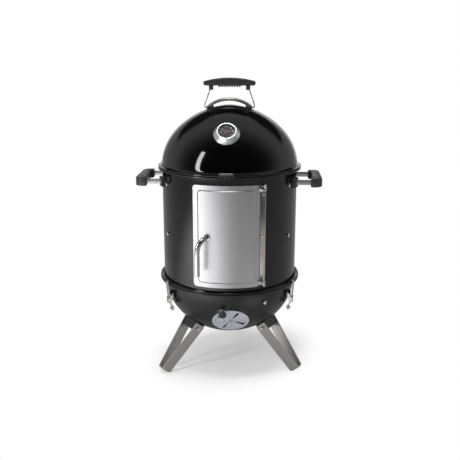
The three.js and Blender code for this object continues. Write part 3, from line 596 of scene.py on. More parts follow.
# Gives a finished piece its material and a body, that of the CAD node it stands for unless one is given, and hides that
# node
def dressed(piece, finish, cadName, body=None):
    piece.data.materials.clear()
    piece.data.materials.append(finishes[finish])
    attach(piece, body or bodyOf(cadName))
    if cadName:
        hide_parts(cadName)
    return piece


def camel(name):
    first, *rest = name.split("_")
    return first + "".join(word.capitalize() for word in rest)


# A welded copy of a CAD node with rounded edges
def dressNode(cadName, finish, width, segments=2):
    mesh = frame["nodes"][cadName].data.copy()
    mesh.name = camel(cadName)
    with edited(mesh) as work:
        bmesh.ops.remove_doubles(work, verts=work.verts, dist=4e-6)
        bmesh.ops.dissolve_limit(work, angle_limit=math.radians(0.6), verts=work.verts, edges=work.edges)
    piece = smooth(linked(camel(cadName), mesh), 30)
    return dressed(softened(piece, width, segments), finish, cadName)


# Lid: the dome by its rule in Geometry Nodes, then the rolled rim and the inside
lidShape = {"rings": 72, "rimSteps": 12, "innerSteps": 48, "seam": 8e-6}


def domeTree():
    tree, size = newTree("domeByRule", "Radius", "Rise", "Base", "Sharpness", "Start Angle", whole=("Rings", "Around"))
    grid = put(tree, "GeometryNodeMeshGrid", {
        "Size X": 1.0, "Size Y": 1.0, "Vertices X": calc(tree, "ADD", size["Around"], 1.0),
        "Vertices Y": calc(tree, "ADD", size["Rings"], 1.0)})
    spot = split(tree, put(tree, "GeometryNodeInputPosition"))
    turn = times(tree, calc(tree, "ADD", spot["X"], 0.5), 2 * math.pi)
    left = calc(tree, "SUBTRACT", quarter, size["Start Angle"])
    climb = calc(tree, "MULTIPLY_ADD", calc(tree, "ADD", spot["Y"], 0.5), left, size["Start Angle"])
    level = calc(tree, "MAXIMUM", calc(tree, "COSINE", climb), 0.0)
    reach = times(tree, calc(tree, "POWER", level, size["Sharpness"]), size["Radius"])
    place = xyz(tree, times(tree, reach, calc(tree, "SINE", turn)),
                times(tree, reach, times(tree, calc(tree, "COSINE", turn), -1.0)),
                calc(tree, "MULTIPLY_ADD", calc(tree, "SINE", climb), size["Rise"], size["Base"]))
    bent = put(tree, "GeometryNodeSetPosition", {"Geometry": grid, "Position": place})
    return closeTree(tree, size, put(tree, "GeometryNodeMergeByDistance", {"Geometry": bent, "Distance": 5e-6}))


def makeLid():
    centre, bead, sheet = shell["beadCentre"], shell["beadRadius"], shell["sheet"]
    flareTop = shell["lidBase"] + shell["lidFlare"]
    startAngle = math.asin((flareTop - shell["domeBase"]) / shell["domeRise"])
    dome = baked("lidDome", domeTree(), {
        "Radius": shell["barrelRadius"] * mm, "Rise": shell["domeRise"] * mm, "Base": shell["domeBase"] * mm,
        "Sharpness": shell["domeSharpness"], "Start Angle": startAngle, "Rings": lidShape["rings"],
        "Around": shell["around"]}, "lidEnamel")
    across, down = centre - shell["barrelRadius"], shell["lidFlare"] - 2 * bead

    def flare(grow, first, last):
        line = arc(0, 0, 1, first, last, lidShape["rimSteps"])
        return [(centre + (across + grow) * c, flareTop + (down + grow) * s) for c, s in line]

    inner = [domePoint(a, sheet) for a in np.linspace(startAngle, quarter, lidShape["innerSteps"] + 1)]
    rim = [domePoint(startAngle)] + flare(0, 180, 270)[1:]
    rim += arc(centre, shell["lidBase"] + bead, bead, 90, shell["beadStart"] - 360, 20)[1:]
    rim += flare(sheet, 262, 180)[:-1] + inner
    skirt = lathe("lidRim", rim, shell["around"])
    vent = ventPlace(lidVent)
    pressMesh(dome.data, vent, lidVent, 0)
    pressMesh(skirt.data, vent, lidVent, -sheet)
    lid = joined("lidShell", dome, skirt)
    weld(lid.data, lidShape["seam"])
    carved(lid, ventTool(vent, lidVent))
    return dressed(smooth(lid), "lidEnamel", "lid")


# Vents: a flat seat pressed in the shell, and a turning plate with its knob and rivet
bowlVent = {"shell": bowlReach, "carrier": "root", "radius": 51.0, "height": 170.0, "azimuth": 4.0, "sink": 6.5,
            "open": 12.0, "knob": 115.0}
lidVent = {"shell": domeReach, "carrier": "lid", "radius": 36.0, "height": 680.0, "azimuth": 180.0, "sink": 3.0,
           "open": 0.0, "knob": 90.0}
ventShape = {"inner": 0.26, "outer": 0.84, "wedge": 43.0, "plate": 1.5, "gap": 0.3, "rivet": 3.0, "seat": 3.0,
             "press": 4.0, "pressDeep": 25.0, "tab": 8.0, "linerGap": 0.03, "linerGrow": 0.4}


def ventPlace(vent):
    return onShell(vent["shell"], vent["height"], vent["azimuth"], vent["sink"])


def wedges(radius, turn, grow=0.0):
    half = ventShape["wedge"] / 2
    outlines = []
    for middle in (turn + 45, turn + 135, turn + 225, turn + 315):
        outer = arc(0, 0, radius * ventShape["outer"] + grow, middle - half, middle + half, 16)
        outlines.append(outer + arc(0, 0, radius * ventShape["inner"] - grow, middle + half, middle - half, 8))
    return outlines


# Sinks the shell to a flat seat inside a circle, in the frame of the vent
def pressed(places, place, vent, level):
    toSeat, back = np.array(place.inverted()), np.array(place)
    local = (places * mm) @ toSeat[:3, :3].T + toSeat[:3, 3]
    beyond = np.hypot(local[:, 0], local[:, 1]) / mm - vent["radius"] - ventShape["seat"]
    near = (beyond < ventShape["press"]) & (np.abs(local[:, 2]) < ventShape["pressDeep"] * mm)
    keep = np.clip(beyond / ventShape["press"], 0, 1)
    keep = keep * keep * (3 - 2 * keep)
    local[:, 2] = np.where(near, level * mm + (local[:, 2] - level * mm) * keep, local[:, 2])
    return (local @ back[:3, :3].T + back[:3, 3]) / mm


def pressMesh(mesh, place, vent, level):
    flat = np.empty(len(mesh.vertices) * 3, np.float32)
    mesh.vertices.foreach_get("co", flat)
    result = pressed(flat.reshape(-1, 3).astype(float) / mm, place, vent, level) * mm
    mesh.vertices.foreach_set("co", result.astype(np.float32).ravel())
    mesh.update()


def ventTool(place, vent):
    return moved(joined("ventHoles", *[prism("hole", outline, -6, 3) for outline in wedges(vent["radius"], 0)]), place)


def makeVent(prefix, vent):
    place, radius, turn = ventPlace(vent), vent["radius"], turnedTo(vent["knob"])
    gap, tab = ventShape["gap"], ventShape["tab"]
    base = 2 * gap + ventShape["plate"]
    half = math.degrees(math.asin(tab / radius))
    tabLine = [(radius + tab / 2, -tab)] + arc(radius + 6, 0, 6, -80, 80, 10) + [(radius + tab / 2, tab)]
    outline = arc(0, 0, radius, vent["knob"] + half, vent["knob"] + 360 - half, 90)
    outline += [(turn @ Vector((x, y, 0)))[:2] for x, y in tabLine]
    bore = arc(0, 0, ventShape["rivet"] + gap, 0, 345, 23)
    disc = plate(prefix + "VentPlate", [outline, bore] + wedges(radius, 45 - vent["open"]), gap, base - gap)
    dressed(moved(disc, place), "ventSheet", f"{prefix}_vent_plate")

    thin = ventShape["linerGap"]
    holes = [arc(0, 0, radius, 0, 357, 119), bore] + wedges(radius, 0, ventShape["linerGrow"])
    liner = plate(prefix + "VentLiner", holes, thin, gap - thin, 0.02)
    dressed(moved(liner, place), "ventSheet", None, vent["carrier"])

    knobLine = [(0, base), (4, base), (4, base + 6), (9.6, base + 6), (11, base + 7.4), (11, base + 12.6)]
    knobLine += arc(8.6, base + 12.6, 2.4, 0, 80, 6)[1:] + [(4, base + 15), (0, base + 14.6)]
    knob = lathe(prefix + "VentKnob", knobLine, 48)
    at = turn @ Vector((radius + 3, 0, 0))
    dressed(moved(knob, place @ shifted(*at)), "handlePlastic", f"{prefix}_vent_knob")

    head = 2.2 * ventShape["rivet"]
    rivetLine = [(0, -5.2), (5, -5.2), (5.4, -4.6), (5.4, -1.5), (3, -1.5), (3, base), (head - 0.4, base)]
    rivetLine += [(head, base + 0.4), (head * 0.8, base + 1.1), (head * 0.45, base + 1.5), (0, base + 1.6)]
    dressed(moved(lathe(prefix + "VentRivet", rivetLine, 40), place), "boltSteel", f"{prefix}_vent_rivet")


# Fire bowl: half ellipsoid, with drafted bosses pressed out for the legs
bowlShape = {"rows": 110, "innerRows": 40, "around": 480, "bossWide": 29.55, "bossDeep": 12.0, "bossFrom": 140.0,
             "sideDraft": 9.0, "faceDraft": 6.0, "fillet": 0.6, "innerBoss": 1.6, "bossReach": -0.55, "leastLift": 0.02}
legShape = {"width": 30.0, "thickness": 4.0, "tilt": 38.5, "bend": 7.0, "footRadius": 209.0, "footFlat": 24.0,
            "footGrind": 2.4, "spread": 75.0, "rows": (50, 100, 130, 163.0), "bowlGap": 0.3}
legTilt = math.radians(legShape["tilt"])
legHalf = Vector((math.cos(legTilt), math.sin(legTilt))) * legShape["width"] / 2
legPlane = shifted(0, -legShape["footRadius"] - legHalf.x, legHalf.y - legShape["footGrind"])
legPlane = legPlane @ Matrix.Rotation(-legTilt, 4, "X")


# Pushes shell points out along rays from the centre to the planes of each boss; the
# clips only keep the exponents in range
def withBosses(places, centre, inset):
    rays = places - centre
    reach = np.linalg.norm(rays, axis=1)
    rays = rays / np.maximum(reach, 1e-6)[:, None]
    sharp, grown = bowlShape["fillet"], reach.copy()
    front = bowlShape["bossFrom"] + inset
    planes = [((0, 0, -1), -front)]
    for axis, wide, draft in ((0, bowlShape["bossWide"], "sideDraft"), (1, bowlShape["bossDeep"], "faceDraft")):
        lean = math.radians(bowlShape[draft])
        for sign in (-1, 1):
            normal = [0, 0, -math.sin(lean)]
            normal[axis] = sign * math.cos(lean)
            planes.append((normal, (wide - inset) * math.cos(lean) - front * math.sin(lean)))
    for azimuth in legSides.values():
        toLeg = np.array((turnedTo(azimuth + shell["bowlTurn"]) @ legPlane).inverted())[:3]
        start, heading = toLeg[:, :3] @ centre + toLeg[:, 3] / mm, rays @ toLeg[:, :3].T
        total = np.zeros(len(places))
        for normal, offset in planes:
            slope = heading @ np.array(normal)
            distance = (offset - start @ np.array(normal)) / np.maximum(slope, 1e-4)
            total += np.where(slope > 1e-4, np.exp(-sharp * np.clip(distance, 0, 400)), 0)
        leaves = -np.log(np.maximum(total, 1e-70)) / sharp
        lift = np.log(1 + np.exp(sharp * np.clip(leaves - reach, -60, 60))) / sharp
        away = (lift < bowlShape["leastLift"]) | (heading[:, 2] > bowlShape["bossReach"])
        grown = np.maximum(grown, reach + np.where(away, 0, lift))
    return centre + rays * grown[:, None]


def makeBowl():
    around, equal, sheet = bowlShape["around"], shell["bowlEqual"], shell["sheet"]
    flare = shell["flareRadius"] + 1
    flareX = shell["bowlRadius"] + flare

    def ellipse(inset, steps):
        across, down = shell["bowlRadius"] - inset, shell["bowlDepth"] - inset
        return [(across * math.sin(a), equal - down * math.cos(a)) for a in np.linspace(0, quarter, steps + 1)]

    rim = arc(flareX, equal, flare, 180, 90, 6)[1:] + beadUnder(shell["bowlLip"])
    rim += arc(flareX, equal, flare + sheet, 90, 180, 6)[:-1]
    outer, inner = ellipse(0, bowlShape["rows"]), ellipse(sheet, bowlShape["innerRows"])[::-1]
    points, faces = latheMesh(outer + rim + inner, around)
    places = np.array(points, float)
    outerEnd = 1 + bowlShape["rows"] * around
    innerStart = outerEnd + len(rim) * around
    vent, skins = ventPlace(bowlVent), ((0, outerEnd, 0, 0), (innerStart, len(places), bowlShape["innerBoss"], -sheet))
    for first, last, inset, level in skins:
        skin = withBosses(places[first:last], np.array([0, 0, equal]), inset)
        places[first:last] = pressed(skin, vent, bowlVent, level)
    bowl = carved(fromPoints("bowlShell", places.tolist(), faces), ventTool(vent, bowlVent))
    return dressed(smooth(bowl), "bowlEnamel", "fire_bowl")


# Barrel: rolled sheet with a bead at each end and the door opening
barrelShape = {"row": 11.0, "openingWidth": 154.0, "openingLow": 292.5, "openingHigh": 547.5, "corner": 8.0}


def makeBarrel():
    radius, sheet, flare, bead = shell["barrelRadius"], shell["sheet"], shell["flareRadius"], shell["beadRadius"]
    centre = radius + flare
    low, high = shell["barrelBase"] + sheet + flare, shell["barrelTop"] - sheet - flare
    rows = int((high - low) / barrelShape["row"])
    wall = [low + (high - low) * i / rows for i in range(1, rows)]
    profile = arc(centre, low, flare + sheet, 180, 270, 6)
    profile += arc(shell["beadCentre"], shell["barrelBase"] + bead, bead, 270, 720 - shell["beadStart"], 20)
    profile += arc(centre, low, flare, 270, 180, 6) + [(radius, z) for z in wall] + arc(centre, high, flare, 180, 90, 6)
    profile += beadUnder(shell["barrelTop"])
    profile += arc(centre, high, flare + sheet, 90, 180, 6) + [(radius - sheet, z) for z in reversed(wall)]
    barrel = lathe("barrelShell", profile + [profile[0]], shell["around"])
    opening = roundedBox(*[barrelShape[key] for key in ("openingWidth", "openingLow", "openingHigh", "corner")])
    carved(barrel, moved(prism("opening", opening, 100, 220), facing))
    return dressed(smooth(barrel), "barrelEnamel", "barrel")


# Door: a curved sheet with a raised panel pressed in it, two hinge knuckles
doorShape = {"width": 176.0, "height": 277.0, "middle": 420.0, "corner": 8.0, "seat": 1.4, "margin": 13.5, "rise": 3.0,
             "wall": 3.6, "wallRounding": 0.2, "hingeAzimuth": 30.6, "hingeReach": 8.5, "pin": 2.2, "eye": 4.2,
             "ear": 7.0, "earGap": 0.3, "stripWidth": 14.0, "stripTuck": 2.5, "stripThick": 2.0,
             "fineHalf": 7.0, "fineSteps": 14}
doorOuter = shell["barrelRadius"] + doorShape["seat"] + shell["sheet"]
panelOuter = doorOuter + doorShape["rise"]
hingeOut = shell["barrelRadius"] + doorShape["hingeReach"]
hingeLow = doorShape["middle"] - doorShape["height"] / 2 + 1
hingeHigh = hingeLow + doorShape["height"] - 2
hingePlace = turnedTo(doorShape["hingeAzimuth"])


# Steps across the door, close together where the pressed wall is
def spread(half, edge):
    steps = doorShape["fineSteps"]
    fine = [edge + doorShape["fineHalf"] * (i / steps - 1) * (1 if i < steps else 0.6) for i in range(25)]
    positive = [*np.linspace(0, fine[0], 18)[:-1], *fine, *np.linspace(fine[-1], half, 8)[1:]]
    return [-p for p in positive[:0:-1]] + positive


def makeDoor():
    halfWide, halfHigh, corner = doorShape["width"] / 2, doorShape["height"] / 2, doorShape["corner"]
    panelWide, panelHigh = halfWide - doorShape["margin"], halfHigh - doorShape["margin"]
    straight = halfHigh - corner
    rows = [r for r in spread(halfHigh, panelHigh) if abs(r) < straight]
    ends = [straight + height for _, height in arc(0, 0, corner, 0, 90, 10)]
    rows = sorted(rows + ends + [-end for end in ends])
    columns = spread(halfWide, panelWide)

    def lifted(x, z):
        qx, qz = abs(x) - (panelWide - corner), abs(z) - (panelHigh - corner)
        outside = math.hypot(max(qx, 0), max(qz, 0)) + min(max(qx, qz), 0) - corner
        t, edge = min(max(0.5 - outside / doorShape["wall"], 0), 1), doorShape["wallRounding"]
        nearest = min(t, 1 - t)
        ramp = (nearest * nearest / (2 * edge) if nearest < edge else nearest - edge / 2) / (1 - edge)
        return doorShape["rise"] * (ramp if t < 0.5 else 1 - ramp)

    points = []
    for inset in (0, shell["sheet"]):
        for z in rows:
            narrow = corner - math.sqrt(max(corner * corner - max(abs(z) - straight, 0) ** 2, 0))
            for column in columns:
                x = column * (halfWide - narrow) / halfWide
                reach = doorOuter + lifted(x, z) - inset
                points.append((x, -math.sqrt(reach * reach - x * x), doorShape["middle"] + z))
    wide, high = len(columns), len(rows)
    faces = [[a, a + 1, a + wide + 1, a + wide] for skin in (0, wide * high) for i in range(high - 1)
             for a in range(skin + i * wide, skin + (i + 1) * wide - 1)]
    loop = list(range(wide)) + [i * wide + wide - 1 for i in range(1, high)]
    loop += [(high - 1) * wide + j for j in range(wide - 2, -1, -1)] + [i * wide for i in range(high - 2, 0, -1)]
    faces += [[a, b, b + wide * high, a + wide * high] for a, b in zip(loop, loop[1:] + loop[:1])]
    parts = [fromPoints("doorSheet", points, faces, 50)]

    ear, eye, gap = doorShape["ear"], doorShape["eye"], doorShape["earGap"]
    lug = [(-15.3, doorOuter - 1.8), (-10.4, doorOuter - 1.8), (-10.4, hingeOut - eye + 0.4), (-9, hingeOut - eye)]
    lug += arc(0, hingeOut, eye, -90, 90, 10) + [(-9, hingeOut + eye), (-15.3, hingeOut + eye - 5)]
    for low, top in ((hingeLow + ear + gap, hingeLow + 2 * ear), (hingeHigh - 2 * ear, hingeHigh - ear - gap)):
        parts.append(moved(softened(prism("knuckle", raised(lug), low, top), 0.4, 2, 50), hingePlace))
    return dressed(smooth(joined("doorPanel", *parts), 50), "doorSteel", "door_panel")


def makeHinge():
    ear, eye, pin = (doorShape[key] for key in ("ear", "eye", "pin"))
    radius, half, outline = shell["barrelRadius"], doorShape["stripWidth"] / 2, []
    left = half + doorShape["stripTuck"]
    for reach, first, last in ((radius + doorShape["stripThick"], -left, half), (radius + 0.3, half, -left)):
        outline += [(reach * math.sin(a), -reach * math.cos(a)) for a in np.linspace(first / reach, last / reach, 9)]
    parts = [softened(prism("strip", outline, hingeLow, hingeHigh), 0.3, 2, 50)]
    earLine = raised([(-eye, radius + 1), (eye, radius + 1)] + arc(0, hingeOut, eye, 0, 180, 14))
    for low in (hingeLow, hingeHigh - ear):
        parts.append(softened(prism("ear", earLine, low, low + ear), 0.4, 2, 50))
    dressed(smooth(moved(joined("hingeStrip", *parts), hingePlace), 50), "sheetSteel", "hinge_strip")
    for name, start in (("lower", hingeLow), ("upper", hingeHigh - 2 * ear)):
        low, high = start - 1, start + 2 * ear + 0.3
        line = [(0, low), (pin - 0.5, low), (pin, low + 0.6), (pin, high), (pin + 1.6, high), (pin + 1.6, high + 1.2),
                (pin + 0.9, high + 1.9), (0, high + 2)]
        made = moved(lathe("hingePin" + name.capitalize(), line, 32), hingePlace @ shifted(0, -hingeOut, 0))
        dressed(made, "boltSteel", f"hinge_pin_{name}")


# Door lever: a bent tube, open at its lower end
leverShape = {"azimuth": -15.4, "radius": 6.85, "bore": 5.6, "reach": 32.5, "side": 14.0, "hollow": 30.0, "sides": 28,
              "bends": [(0, 2, 0), (-0.5, 9, 0), (-3.5, 18, -2.5), (-8, 26, -9), (-12, 31, -19)],
              "straight": (-34, -52, -75, -98)}


def makeLever():
    reach, side, radius, bore = (leverShape[key] for key in ("reach", "side", "radius", "bore"))
    bends = leverShape["bends"] + [(-side, reach, z) for z in leverShape["straight"]]
    *path, end = smoothPath([(x, -out, z) for x, out, z in bends], 9)
    path += [end + Vector((0, 0, up)) for up in (0.8, 0, 0, 1, leverShape["hollow"])]
    bent = len(path) - 4
    sizes = [radius] * bent + [radius - 0.5, bore + 0.4, bore, bore]
    pipe = swept("leverTube", path, circle(1, leverShape["sides"]), (1, 0, 0), 35, sizes, bent, 0.04)
    collar = lathe("collar", [(0, 0.3), (9, 0.3), (9.5, 0.8), (9.5, 3.2), (8.6, 4), (0, 4)], 40)
    shaft = lathe("shaft", [(0, -11), (3.2, -11), (3.6, -10.6), (3.6, 6), (0, 6)], 28)
    place = turnedTo(leverShape["azimuth"]) @ shifted(0, -panelOuter, doorShape["middle"])
    lever = moved(joined("doorLever", pipe, moved(collar, facing), moved(shaft, facing)), place)
    return dressed(smooth(lever, 40), "leverSteel", "door_lever")


# Legs: one strap bent to a V, ground flat at its foot and ending at the bowl
def makeLeg(side, azimuth):
    half, thick, bend, w = legShape["footFlat"] / 2, legShape["thickness"], legShape["bend"], legShape["width"] / 2
    lean = math.atan2(legShape["spread"] - 2 * half, 2 * legShape["rows"][-1])
    swing = 90 - math.degrees(lean)
    corner = bend * math.tan(math.radians(swing / 2))

    def line(offset):
        high = [(half + v * math.tan(lean) - offset / math.cos(lean), v) for v in legShape["rows"]]
        return mirrored(arc(half - corner, bend, bend - offset, -90, swing - 90, 8) + high)

    outer, points = line(0), []
    for (u0, v0), (u1, v1) in zip(outer, line(thick)):
        points += [(u0, -w, v0), (u0, w, v0), (u1, w, v1), (u1, -w, v1)]
    mesh = rawMesh("leg", points, tube(len(outer), 4))
    run = [0.0]
    for a, b in zip(outer, outer[1:]):
        run.append(run[-1] + math.dist(a, b) * mm)
    flowMap(mesh, lambda index: (run[index // 4] + 0.7 * (index % 4 > 1), points[index][1] * mm))
    weld(mesh)
    leg = moved(linked(camel("leg_" + side), mesh), legPlane)
    carved(leg, box("ground", (-150, 150), (-400, -40), -40, 0.05))
    across, down = shell["bowlRadius"] + legShape["bowlGap"], shell["bowlDepth"] + legShape["bowlGap"]
    bowl = [(across * math.sin(a), shell["bowlEqual"] - down * math.cos(a)) for a in np.linspace(0.1, quarter, 24)]
    carved(leg, lathe("hull", [(0, 97)] + bowl + [(0, shell["bowlEqual"])], 96))
    softened(smooth(leg), 0.5, 2, 50)
    return dressed(moved(leg, turnedTo(azimuth + shell["bowlTurn"])), "legSteel", f"leg_{side}")


# Grates: parallel bars and an edge wire
grateWire = {"thick": 4.0, "pitch": 22.0}
grates = {"charcoal_grate": (170.0, 232.3), "lower_grate": (183.0, 405.0), "upper_grate": (183.0, 544.0)}


def grateTree():
    tree, size = newTree("grateBars", "Radius", "Wire", "Spacing", "Level", whole=["Bars"])
    ringRadius = calc(tree, "SUBTRACT", size["Radius"], times(tree, size["Wire"], 0.5))
    x = split(tree, put(tree, "GeometryNodeInputPosition"))["X"]
    square = calc(tree, "SUBTRACT", times(tree, ringRadius, ringRadius), times(tree, x, x))
    length = times(tree, calc(tree, "SQRT", square), 2.0)
    thin = times(tree, size["Wire"], 0.43)
    bar = put(tree, "GeometryNodeMeshCylinder", {"Vertices": 12, "Radius": thin, "Depth": 1.0})
    bars = onPoints(tree, rowOf(tree, size["Bars"], size["Spacing"]), placed(tree, bar, Rotation=(quarter, 0, 0)),
                    Scale=xyz(tree, 1.0, length, 1.0))
    loop, section = [put(tree, "GeometryNodeCurvePrimitiveCircle", {"Resolution": steps, "Radius": radius})
                     for steps, radius in ((160, ringRadius), (14, times(tree, size["Wire"], 0.5)))]
    ring = put(tree, "GeometryNodeCurveToMesh", {"Curve": loop, "Profile Curve": section})
    height = calc(tree, "MULTIPLY_ADD", size["Wire"], 0.5, size["Level"])
    return closeTree(tree, size, placed(tree, together(tree, ring, bars), Translation=xyz(tree, 0.0, 0.0, height)))


def makeGrates():
    tree = grateTree()
    thick, pitch = grateWire["thick"], grateWire["pitch"]
    for name, (radius, level) in grates.items():
        sizes = {"Radius": radius * mm, "Wire": thick * mm, "Spacing": pitch * mm,
                 "Bars": 2 * int((radius - thick) / pitch) + 1, "Level": level * mm}
        turn = turnedTo(shell["bowlTurn"] if name == "charcoal_grate" else 0)
        dressed(moved(baked(camel(name), tree, sizes, "gratePlating"), turn), "gratePlating", name)


# Water pan: drawn sheet with a rolled rim
panShape = {"rim": 397.0, "radius": 171.0, "depth": 72.0, "corner": 17.0, "cornerIn": 48.0, "flatIn": 90.0,
            "wallIn": 17.0}


def makePan():
    rim, radius, depth, corner, cornerIn, flatIn, wallIn = panShape.values()
    bend = [(radius - cornerIn + corner * math.sin(a), rim - depth + corner * (1 - math.cos(a)))
            for a in np.linspace(0, 1.25, 9)]
    outer = [(0, rim - depth), (radius - flatIn, rim - depth)] + bend + [(radius - wallIn, rim - 2.6)]
    outer += arc(radius - 12.5, rim - 4, 4.2, 160, 90, 4) + [(radius - 0.6, rim + 0.1), (radius, rim + 0.6)]
    inner = [(radius - 0.6, rim + 1.2), (radius - 14, rim + 1.2), (radius - 17.6, rim - 2)]
    inner += [(r - 0.8, z + 1.0) for r, z in reversed(bend)] + [(0, rim - depth + 1.2)]
    return dressed(lathe("waterPan", outer + inner, 192), "panEnamel", "water_pan")


# Bolt and screw heads: one tree for every round head
def headTree():
    tree, size = newTree("boltHeads", "Head Radius", "Head Height", "Crown", whole=["Sides"])
    radius, height = size["Head Radius"], size["Head Height"]
    stub = put(tree, "GeometryNodeMeshCylinder", {"Vertices": size["Sides"], "Radius": radius, "Depth": height})
    base = placed(tree, stub, Translation=xyz(tree, 0.0, 0.0, times(tree, height, 0.5)))
    ball = put(tree, "GeometryNodeMeshUVSphere", {"Segments": 24, "Rings": 12, "Radius": times(tree, radius, 0.93)})
    crown = placed(tree, ball, Scale=xyz(tree, 1.0, 1.0, size["Crown"]),
                   Translation=xyz(tree, 0.0, 0.0, times(tree, height, 0.98)))
    aim = put(tree, "GeometryNodeInputNamedAttribute", {"Name": "aim"}, data_type="FLOAT_VECTOR")
    turn = put(tree, "FunctionNodeAlignRotationToVector", {"Vector": aim}, axis="Z")
    return closeTree(tree, size, onPoints(tree, size["Geometry"], together(tree, base, crown), Rotation=turn))


def heads(name, tree, shape, spots):
    seed = bpy.data.meshes.new(name + "Spots")
    outs = [turnedTo(azimuth) @ Vector((0, -1, 0)) for azimuth, *_ in spots]
    places = [(out * reach + Vector((0, 0, height))) * mm for out, (_, height, reach) in zip(outs, spots)]
    seed.from_pydata(places, [], [])
    aims = seed.attributes.new("aim", "FLOAT_VECTOR", "POINT")
    for item, out in zip(aims.data, outs):
        item.vector = out
    sizes = {"Sides": shape["sides"], "Head Radius": shape["radius"] * mm, "Head Height": shape["height"] * mm,
             "Crown": shape["crown"]}
    dressed(baked(name, tree, sizes, "boltSteel", seed), "boltSteel", None, "root")


# Bolts and screws: a round head on each
boltHead = {"sides": 24, "radius": 5.4, "height": 3.0, "crown": 0.34}
screwHead = {"sides": 20, "radius": 3.4, "height": 1.0, "crown": 0.3}
headSpots = {"barrelOut": 0.4, "stripOut": 1.9, "bowlOut": 0.9, "supports": (544.0, 405.0),
             "screws": (532.0, 420.0, 308.0), "charcoal": 229.0, "charcoalTurns": (30.0, 150.0, 270.0)}


def makeBolts():
    tree, radius, low = headTree(), shell["barrelRadius"], headSpots["charcoal"]
    onBarrel, onStrip = radius + headSpots["barrelOut"], radius + headSpots["stripOut"]
    onBowl = bowlReach(low) + headSpots["bowlOut"]
    heads("barrelBoltHeads", tree, boltHead,
          [(azimuth, level, onBarrel) for level in headSpots["supports"] for azimuth in legSides.values()])
    heads("hingeScrews", tree, screwHead,
          [(doorShape["hingeAzimuth"], level, onStrip) for level in headSpots["screws"]])
    heads("bowlBoltHeads", tree, boltHead,
          [(azimuth + shell["bowlTurn"], low, onBowl) for azimuth in headSpots["charcoalTurns"]])


# Pieces whose CAD mesh only gets rounded edges: part of the name, look, width and steps
plainPieces = {
    "charcoal_bolt": ("boltSteel", 0.35), "leg_bolt": ("boltSteel", 0.35), "_support_": ("sheetSteel", 0.3),
    "door_cam": ("sheetSteel", 0.3), "latch_base": ("blackSteel", 0.3), "latch_lever": ("latchSteel", 0.3),
    "latch_hook": ("latchSteel", 0.4, 3), "side_bracket": ("handlePlastic", 1.2, 3),
    "handle_foot": ("handlePlastic", 1.0, 3),
}


def dressPlain():
    for name in frame["nodes"]:
        for part, look in plainPieces.items():
            if part in name:
                dressNode(name, *look)


# Side handles: a bent strap through a moulded grip, on two moulded brackets
sideShape = {"height": 547.0, "strapHigh": 14.0, "strapThick": 3.0, "span": 66.0, "reach": 257.5, "grip": 24.0,
             "elbow": 7.3077, "bend": 9.0, "round": 5.5, "slotGap": 0.3}


def strap(name, angle=35.0, extra=0.0, gap=0.0):
    span, bend, end = sideShape["span"], sideShape["bend"], sideShape["reach"] - sideShape["grip"] / 2
    start = math.sqrt(shell["barrelRadius"] ** 2 - span ** 2) + 3 - extra
    near = [(start + (end - bend - start) * i / 6, -span) for i in range(6)]
    near += arc(end - bend, bend - span, bend, -90, 0, 8)
    path = [(x, y, sideShape["height"]) for x, y in near + raised(near[::-1])]
    thick = sideShape["strapThick"] / 2 + gap
    return swept(name, path, roundedBox(sideShape["strapHigh"] + 2 * gap, -thick, thick, 0.6, 3), (0, 0, 1), angle)


def makeSideHandle(side, turn):
    dressed(moved(strap(camel(f"side_strap_{side}"), 50), turnedTo(turn)), "strapSteel", f"side_strap_{side}")
    reach, middle, thick = sideShape["reach"], sideShape["height"], sideShape["grip"]
    inner, outerHalf, innerHalf = reach - thick, sideShape["span"] + thick / 2, sideShape["span"] - thick / 2
    end, corner = inner - sideShape["elbow"], thick * 0.85
    half = arc(reach - corner, outerHalf - corner, corner, 0, 90, 12) + [(end, outerHalf), (end, innerHalf)]
    half += [(end + 2.5, innerHalf - 0.7), (inner - 1.2, innerHalf - 3.4), (inner, innerHalf - 6)]
    grip = prism(camel(f"side_grip_{side}"), raised(half[::-1]) + half, middle - thick / 2, middle + thick / 2)
    softened(grip, sideShape["round"], 6, 50)
    carved(grip, strap("slot", 35, 2, sideShape["slotGap"]))
    dressed(moved(smooth(grip, 50), turnedTo(turn)), "handlePlastic", f"side_grip_{side}")


# Lid handle: arched heat shield, wire bail and moulded grip with ridges below
shieldShape = {"radius": 100.0, "top": 771.0, "end": 747.3, "width": 26.0, "flange": 8.0, "curl": 4.6, "sweep": 43.0,
               "steps": 84}
wireShape = {"radius": 1.6, "pivot": 743.6, "inGrip": 9.0, "foot": ((68.4, 8), (68.2, 2), (66, 0), (62, 0), (59, 0))}
gripShape = {"bottom": 803.5, "halfLength": 72.0, "rise": 21.0, "endHeight": 13.0, "depth": 26.0, "round": 4.0,
             "postDrop": 12.0, "postHalf": 5.7, "postDeep": 7.0, "topHalf": 51.0, "ridges": 9, "pitch": 7.0,
             "ridgeDeep": 3.8, "ridgeWide": 4.6, "ridgeSunk": 3.0, "ridgeInset": 4.0}


def makeHeatShield():
    radius, half, curl, sheet = shieldShape["radius"], shieldShape["width"] / 2, shieldShape["curl"], shell["sheet"]
    low, centre = radius - shieldShape["flange"], shieldShape["top"] - radius
    right = [(half, low)] + arc(half - curl, radius - curl, curl, 0, 90, 6)
    under = arc(half - curl, radius - curl, curl - sheet, 90, 0, 6) + [(half - sheet, low)]
    section = right + [(-y, r) for y, r in reversed(right)] + [(-y, r) for y, r in reversed(under)] + under
    steps, sweep = shieldShape["steps"], math.radians(shieldShape["sweep"])
    angles = [sweep * (2 * i / steps - 1) for i in range(steps + 1)]
    points = [(r * math.sin(a), y, centre + r * math.cos(a)) for a in angles for y, r in section]
    shield = fromPoints("heatShield", points, tube(steps + 1, len(section)))
    carved(shield, box("cut", (-150, 150), (-30, 30), shieldShape["end"] - 60, shieldShape["end"]))
    return dressed(smooth(shield), "shieldSteel", "heat_shield")


